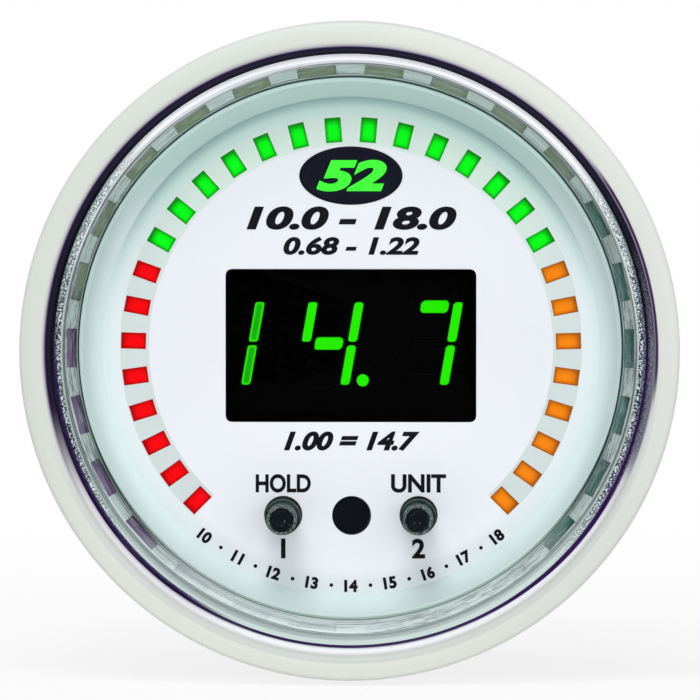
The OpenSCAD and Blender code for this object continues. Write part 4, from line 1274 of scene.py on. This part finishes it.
def lettering(name, text, tall, width, x, y, z, bold=0.0, slant=0.0, thick=0.02):
    """Plain figures of a given height and width, printed with their middle at a place.

    A width of 0 keeps the figures' own proportions.
    """
    words = bpy.data.curves.new(name, "FONT")
    words.body = text
    words.align_x, words.align_y = "CENTER", "CENTER"
    words.size = 1
    words.shear = slant
    words.offset = bold
    words.resolution_u = 6
    bm = filled(words)
    xs, ys = [v.co.x for v in bm.verts], [v.co.y for v in bm.verts]
    middle = ((min(xs) + max(xs)) / 2, (min(ys) + max(ys)) / 2)
    up = tall / (max(ys) - min(ys))
    scale = (width / (max(xs) - min(xs)) if width else up, up)
    bmesh.ops.remove_doubles(bm, verts=bm.verts, dist=0.0002)
    for v in bm.verts:
        v.co = ((v.co.x - middle[0]) * scale[0], (v.co.y - middle[1]) * scale[1], 0)
    front = bmesh.ops.extrude_face_region(bm, geom=bm.faces[:])
    for v in front["geom"]:
        if isinstance(v, bmesh.types.BMVert):
            v.co.z += thick
    bmesh.ops.recalc_face_normals(bm, faces=bm.faces)
    made = solid(name, bm)
    return moved(made, x, y, z)


class GAUGE_OT_print(GaugeOperator, bpy.types.Operator):
    """Print the dial's plain figures"""
    bl_idname = "gauge.print"
    bl_label = "Dial print"

    def execute(self, context):
        d = dial()
        z = d["dial_front"] - 0.001
        rows = (
            ("10.0 - 18.0", 2.0, 17.9, 0.05, 10.98, 0.045, 0.22),
            ("0.68 - 1.22", 1.56, 11.6, 0.05, 8.62, 0.04, 0.22),
            ("1.00 = 14.7", 1.66, 11.6, 0.08, -8.05, 0.045, 0.3),
        )
        blocks = [lettering("figures", text, tall, width, x, y, z, bold, slant)
                  for text, tall, width, x, y, bold, slant in rows]
        for side, text in ((-1, "HOLD"), (1, "UNIT")):
            blocks.append(lettering("label", text, 1.58, 4.7, side * d["button_x"], -11.66, z,
                                    0.034))
        for side, text in ((-1, "1"), (1, "2")):
            blocks.append(lettering("number", text, 1.7, 0, side * d["button_x"], -17.22, z,
                                    0.035))
        blocks += self.scale(z)
        made = join("dial_figures", blocks)
        present(made, "ink", GAUGE)
        badge = lettering("badge_figures", "52", 2.7, 6.0, 0.05, d["badge_y"],
                          d["dial_back"] + 0.55, 0.05, 0.25, 0.03)
        present(badge, "green_ink", GAUGE)
        return {"FINISHED"}

    def scale(self, z):
        """The small figures along the foot of the dial."""
        radius, step, middle = 20.42, math.radians(9.4), 14
        made = []
        for i in range(-4, 5):
            turn = i * step
            figure = lettering("small_figure", str(middle + i), 1.04, 0, 0, 0, 0, 0.05)
            moved(figure, turn=turn)
            made.append(moved(figure, radius * math.sin(turn), -radius * math.cos(turn), z))
        for i in range(-4, 4):
            turn = (i + 0.5) * step
            dot = solid("small_dot", lathe([(0, 0), (0.16, 0), (0.16, 0.02), (0, 0.02)], 16))
            made.append(moved(dot, radius * math.sin(turn), -radius * math.cos(turn), z))
        return made


class GAUGE_OT_buttons(GaugeOperator, bpy.types.Operator):
    """Build the two buttons and their sleeves"""
    bl_idname = "gauge.buttons"
    bl_label = "Buttons"

    def execute(self, context):
        d = dial()
        sleeve_r, bore, tip = d["sleeve_r"], 1.0, d["plunger_r"]
        sleeve = rounded([
            (bore, 0.2, 0.05), (sleeve_r, 0.2, 0.05), (sleeve_r, 3.9, 0.04), (1.525, 3.9, 0.06),
            (1.525, 4.6, 0.06), (sleeve_r, 4.6, 0.03), (sleeve_r, 8.2, 0.14), (bore, 8.2, 0.05)], 3)
        pair = []
        for _, side in BUTTONS:
            made = solid("sleeve", lathe(sleeve, 96))
            pair.append(moved(made, side * d["button_x"], -d["button_drop"]))
        present(join("sleeves", pair), "sleeve_metal", GAUGE, ["button_sleeves"], 40)
        plunger = [(0, -0.9), (1.46, -0.9), (1.46, -0.6), (tip, -0.6), (tip, 8.42)]
        plunger += [(tip - 0.03, 8.52), (tip - 0.09, 8.61), (tip - 0.18, 8.68), (tip - 0.28, 8.7)]
        plunger += [(0.5, 8.68), (0.36, 8.64), (0.2, 8.61), (0.08, 8.6), (0, 8.6)]
        for name, side in BUTTONS:
            made = solid(name + "_plunger", lathe(plunger, 96))
            moved(made, side * d["button_x"], -d["button_drop"])
            body = name + "_button"
            present(made, "button_plastic", body, [body], 40)
        return {"FINISHED"}


def welded_copy(node, name):
    """A copy of a CAD node's mesh with its triangles merged into faces, in millimetres."""
    bm = bmesh.new()
    bm.from_mesh(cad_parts[node].data)
    bmesh.ops.transform(bm, matrix=FACING.inverted(), verts=bm.verts)
    bmesh.ops.remove_doubles(bm, verts=bm.verts, dist=0.0005)
    bmesh.ops.dissolve_limit(bm, angle_limit=math.radians(1), verts=bm.verts, edges=bm.edges)
    return solid(name, bm)


def softened(node, name, width, look, body, segments=2, angle=30):
    """A CAD node with its edges rounded."""
    made = welded_copy(node, name)
    modifier = made.modifiers.new("edges", "BEVEL")
    modifier.width = width
    modifier.segments = segments
    modifier.limit_method = "ANGLE"
    modifier.angle_limit = math.radians(angle)
    modifier.use_clamp_overlap = True
    settle(made)
    return present(made, look, body, [node], 35)


class GAUGE_OT_case(GaugeOperator, bpy.types.Operator):
    """Build the black case with its inlet"""
    bl_idname = "gauge.case"
    bl_label = "Case"

    def execute(self, context):
        softened("case", "case_moulding", 0.12, "moulded_black", GAUGE)
        softened("inlet_header", "inlet_socket", 0.1, "cream_nylon", GAUGE)
        pin = solid("inlet_contacts", stack([
            ([(px * w, py * w) for px, py in ((-1, -1), (1, -1), (1, 1), (-1, 1))], z)
            for w, z in ((0.16, -33.7), (0.32, -33.1), (0.32, -25.7), (0.2, -25.5))]))
        pattern(row_pattern).run(pin, "gold", Across=6, Up=1, Step_across=2.0, Step_up=0.0)
        moved(pin, y=-13)
        present(pin, "gold", GAUGE, ["inlet_pins"])
        return {"FINISHED"}


STUD_X = 17.0


def hex_nut(name, back, front):
    """A hexagonal nut on the axis, with chamfered corners and a bored middle."""
    across = 7.0
    corner = across / math.sqrt(3)
    outline = [(corner * math.cos(math.radians(60 * i)), corner * math.sin(math.radians(60 * i)))
               for i in range(6)]
    nut = solid(name, stack([(outline, back), (outline, front)]))
    cut = 0.42
    barrel = [(0, back), (3.35, back), (corner + 0.05, back + cut), (corner + 0.05, front - cut),
              (3.35, front), (0, front)]
    combine(nut, "INTERSECT", solid("chamfer", lathe(barrel, 96)))
    bore = [(0, back - 1), (2.45, back - 0.1), (2.08, back + 0.3), (2.08, front - 0.3),
            (2.45, front + 0.1), (0, front + 1)]
    return combine(nut, "DIFFERENCE", solid("bore", lathe(bore, 64)))


def pair_of(name, make):
    """Two copies of a piece, one on each stud."""
    first = make(name)
    second = placed(name, first.data.copy())
    moved(first, -STUD_X)
    moved(second, STUD_X)
    return join(name, [first, second])


class GAUGE_OT_mounting(GaugeOperator, bpy.types.Operator):
    """Build the studs, nuts, washers and the clamp"""
    bl_idname = "gauge.mounting"
    bl_label = "Mounting"

    def execute(self, context):
        softened("clamp_bracket", "clamp_strip", 0.15, "zinc_strip", CLAMP)
        present(pair_of("studs_threaded", self.stud), "zinc_steel", GAUGE,
                ["studs"], 50)
        present(pair_of("jam_nuts", lambda name: hex_nut(name, -36.2, -34)), "zinc_steel", GAUGE,
                ["stud_nuts"], 20)
        present(pair_of("clamp_hex_nuts", lambda name: hex_nut(name, -42, -38.8)), "zinc_steel",
                CLAMP, ["clamp_nuts"], 20)
        present(pair_of("clamp_rings", self.washer), "zinc_steel", CLAMP,
                ["clamp_washers"], 40)
        return {"FINISHED"}

    def stud(self, name):
        """A stud with a rolled thread and a round head."""
        rows = 180
        profile = [(0, -50), (1.6, -50), (2.0, -49.6)]
        profile += [(2.0, -49.6 + (16.0 + 1.6) * i / rows) for i in range(1, rows + 1)]
        profile += [(3.3, -32.0), (3.6, -31.7), (3.6, -30.4), (3.3, -30), (0, -30)]
        shaft = solid(name, lathe(profile, 40))
        return pattern(thread_pattern).run(shaft, "zinc_steel", Pitch=0.7, Depth=0.32, From=-49.9,
                                           To=-32.6)

    def washer(self, name):
        return solid(name, lathe(rounded([
            (2.3, -38.8, 0.08), (4.5, -38.8, 0.2), (4.5, -38, 0.08), (2.3, -38, 0.08)], 3), 96))


INNER_LOOKS = {
    "bezel_gasket": "rubber", "display_filter": "smoked_filter", "sensor_window": "sensor_glass",
    "light_baffle": "baffle", "bar_leds": "led_epoxy", "light_sensor": "sensor_glass",
    "digit_display": "digit_black", "unlit_segments": "dark_bar", "display_leads": "tinned",
    "display_board": "display_board", "led_drivers": "chip_epoxy",
    "left_switch_stem": "button_plastic", "right_switch_stem": "button_plastic",
    "left_switch_dome": "spring_steel", "right_switch_dome": "spring_steel",
    "switch_bases": "chip_epoxy", "switch_covers": "spring_steel", "board_spacers": "brass",
    "board_screws": "screw_steel", "control_board": "control_board", "processor": "chip_epoxy",
    "voltage_regulator": "chip_epoxy", "capacitors": "can_sleeve", "link_headers": "baffle",
    "link_pins": "gold",
}


class GAUGE_OT_inside(GaugeOperator, bpy.types.Operator):
    """Paint the CAD nodes that stay as they are"""
    bl_idname = "gauge.inside"
    bl_label = "Inside"

    def execute(self, context):
        for node, look in INNER_LOOKS.items():
            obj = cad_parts[node]
            if not obj.material_slots:
                raise RuntimeError("the node has no material slot: " + node)
            for slot in obj.material_slots:
                slot.material = finish(look)
        return {"FINISHED"}


def aimed(name, data, place, back):
    """A lamp or a camera at a place, with its back in a direction."""
    made = placed(name, data)
    made.location = place
    made.rotation_mode = "QUATERNION"
    made.rotation_quaternion = (-back).to_track_quat("-Z", "Y")
    return made


class GAUGE_OT_stage(GaugeOperator, bpy.types.Operator):
    """Set the floor, the lamps, the white surroundings and the camera"""
    bl_idname = "gauge.stage"
    bl_label = "Stage"

    def execute(self, context):
        self.floor()
        self.surroundings()
        self.lamp("key", (-0.05, -0.48, 0.60), 0.42, 2.6)
        self.lamp("fill", (0.30, -0.64, 0.12), 0.5, 0.85)
        self.lamp("rear", (-0.35, 0.6, 0.35), 0.4, 1.2)
        self.camera()
        return {"FINISHED"}

    def floor(self):
        low = CAD_BOX[0].z - 0.0004
        bm = bmesh.new()
        bmesh.ops.create_grid(bm, x_segments=2, y_segments=2, size=1.6)
        floor = solid("floor", bm)
        floor.data.transform(Matrix.Translation((0, 0, low)))
        material = bpy.data.materials.new("floor_white")
        material.use_nodes = True
        graph = Graph(material.node_tree)
        graph.tree.nodes.remove(graph.tree.nodes["Principled BSDF"])
        matt = graph.node("ShaderNodeBsdfDiffuse", None, {"Color": (0.86, 0.86, 0.86)})
        bright = graph.node("ShaderNodeEmission", None, {"Color": (1, 1, 1), "Strength": 1.0})
        path = graph.node("ShaderNodeLightPath")
        seen = graph.sum("MAXIMUM", graph.term(path, "Is Camera Ray"),
                         graph.term(path, "Is Glossy Ray"))
        place = graph.node("ShaderNodeTexCoord").outputs["Object"]
        away = graph.node("ShaderNodeVectorMath", {"operation": "LENGTH"}, {0: place})
        fade = graph.step(Term(graph, away.outputs["Value"]), 0.06, 0.22)
        mixed = graph.node("ShaderNodeMixShader", None,
                           {0: seen * (0.84 + fade * 0.16), 1: matt.outputs[0],
                            2: bright.outputs[0]})
        graph.feed(graph.tree.nodes["Material Output"].inputs["Surface"], graph.term(mixed))
        floor.data.materials.append(material)

    def surroundings(self):
        world = bpy.data.worlds.new("surroundings")
        bpy.context.scene.world = world
        world.use_nodes = True
        graph = Graph(world.node_tree)
        path = graph.node("ShaderNodeLightPath")
        seen = graph.sum("MAXIMUM", graph.term(path, "Is Camera Ray"),
                         graph.sum("MAXIMUM", graph.term(path, "Is Glossy Ray"),
                                   graph.term(path, "Is Transmission Ray")))
        back = graph.tree.nodes["Background"]
        graph.feed(back.inputs["Color"], (1, 1, 1, 1))
        graph.feed(back.inputs["Strength"], 0.55 + seen * 0.45)

    def lamp(self, name, place, size, power):
        data = bpy.data.lights.new(name, "AREA")
        data.shape = "DISK"
        data.size = size
        data.energy = power
        aimed(name, data, Vector(place), Vector(place))

    def camera(self):
        turn, lift, distance = math.radians(1.05), math.radians(3.3), 1.2
        width_seen = 0.05932
        back = Vector((math.sin(turn) * math.cos(lift), -math.cos(turn) * math.cos(lift),
                       math.sin(lift)))
        data = bpy.data.cameras.new("camera")
        data.sensor_width = 36
        data.lens = data.sensor_width * distance / width_seen
        data.clip_end = 20
        target = Vector((0.00004, -0.008, 0.0001))
        bpy.context.scene.camera = aimed("camera", data, target + back * distance, back)
        bpy.context.scene.view_settings.view_transform = "Standard"


class GAUGE_PT_panel(bpy.types.Panel):
    """The gauge's pieces, sizes and colours"""
    bl_label = "Air Fuel Ratio Gauge"
    bl_idname = "GAUGE_PT_panel"
    bl_space_type = "VIEW_3D"
    bl_region_type = "UI"
    bl_category = "Gauge"

    def draw(self, context):
        column = self.layout.column()
        for operator in OPERATORS:
            column.operator(operator.bl_idname)
        for name, kind in GROUPS:
            for key in kind.__annotations__:
                column.prop(getattr(context.scene, name), key)


OPERATORS = (
    GAUGE_OT_stage, GAUGE_OT_bezel, GAUGE_OT_lens, GAUGE_OT_seat, GAUGE_OT_reflector,
    GAUGE_OT_dial, GAUGE_OT_lights, GAUGE_OT_badge, GAUGE_OT_digits, GAUGE_OT_print,
    GAUGE_OT_buttons, GAUGE_OT_case, GAUGE_OT_mounting, GAUGE_OT_inside)
GROUPS = (("gauge_rings", GaugeRingSizes), ("gauge_dial", GaugeDialSizes),
          ("gauge_colours", GaugeColours))
CLASSES = (*(kind for _, kind in GROUPS), *OPERATORS, GAUGE_PT_panel)


def register():
    for cls in CLASSES:
        bpy.utils.register_class(cls)
    for name, kind in GROUPS:
        setattr(bpy.types.Scene, name, bpy.props.PointerProperty(type=kind))


def unregister():
    for name, _ in GROUPS:
        delattr(bpy.types.Scene, name)
    for cls in reversed(CLASSES):
        bpy.utils.unregister_class(cls)


def main():
    register()
    for operator in OPERATORS:
        group, name = operator.bl_idname.split(".")
        getattr(getattr(bpy.ops, group), name)()


if __name__ == "__main__":
    main()
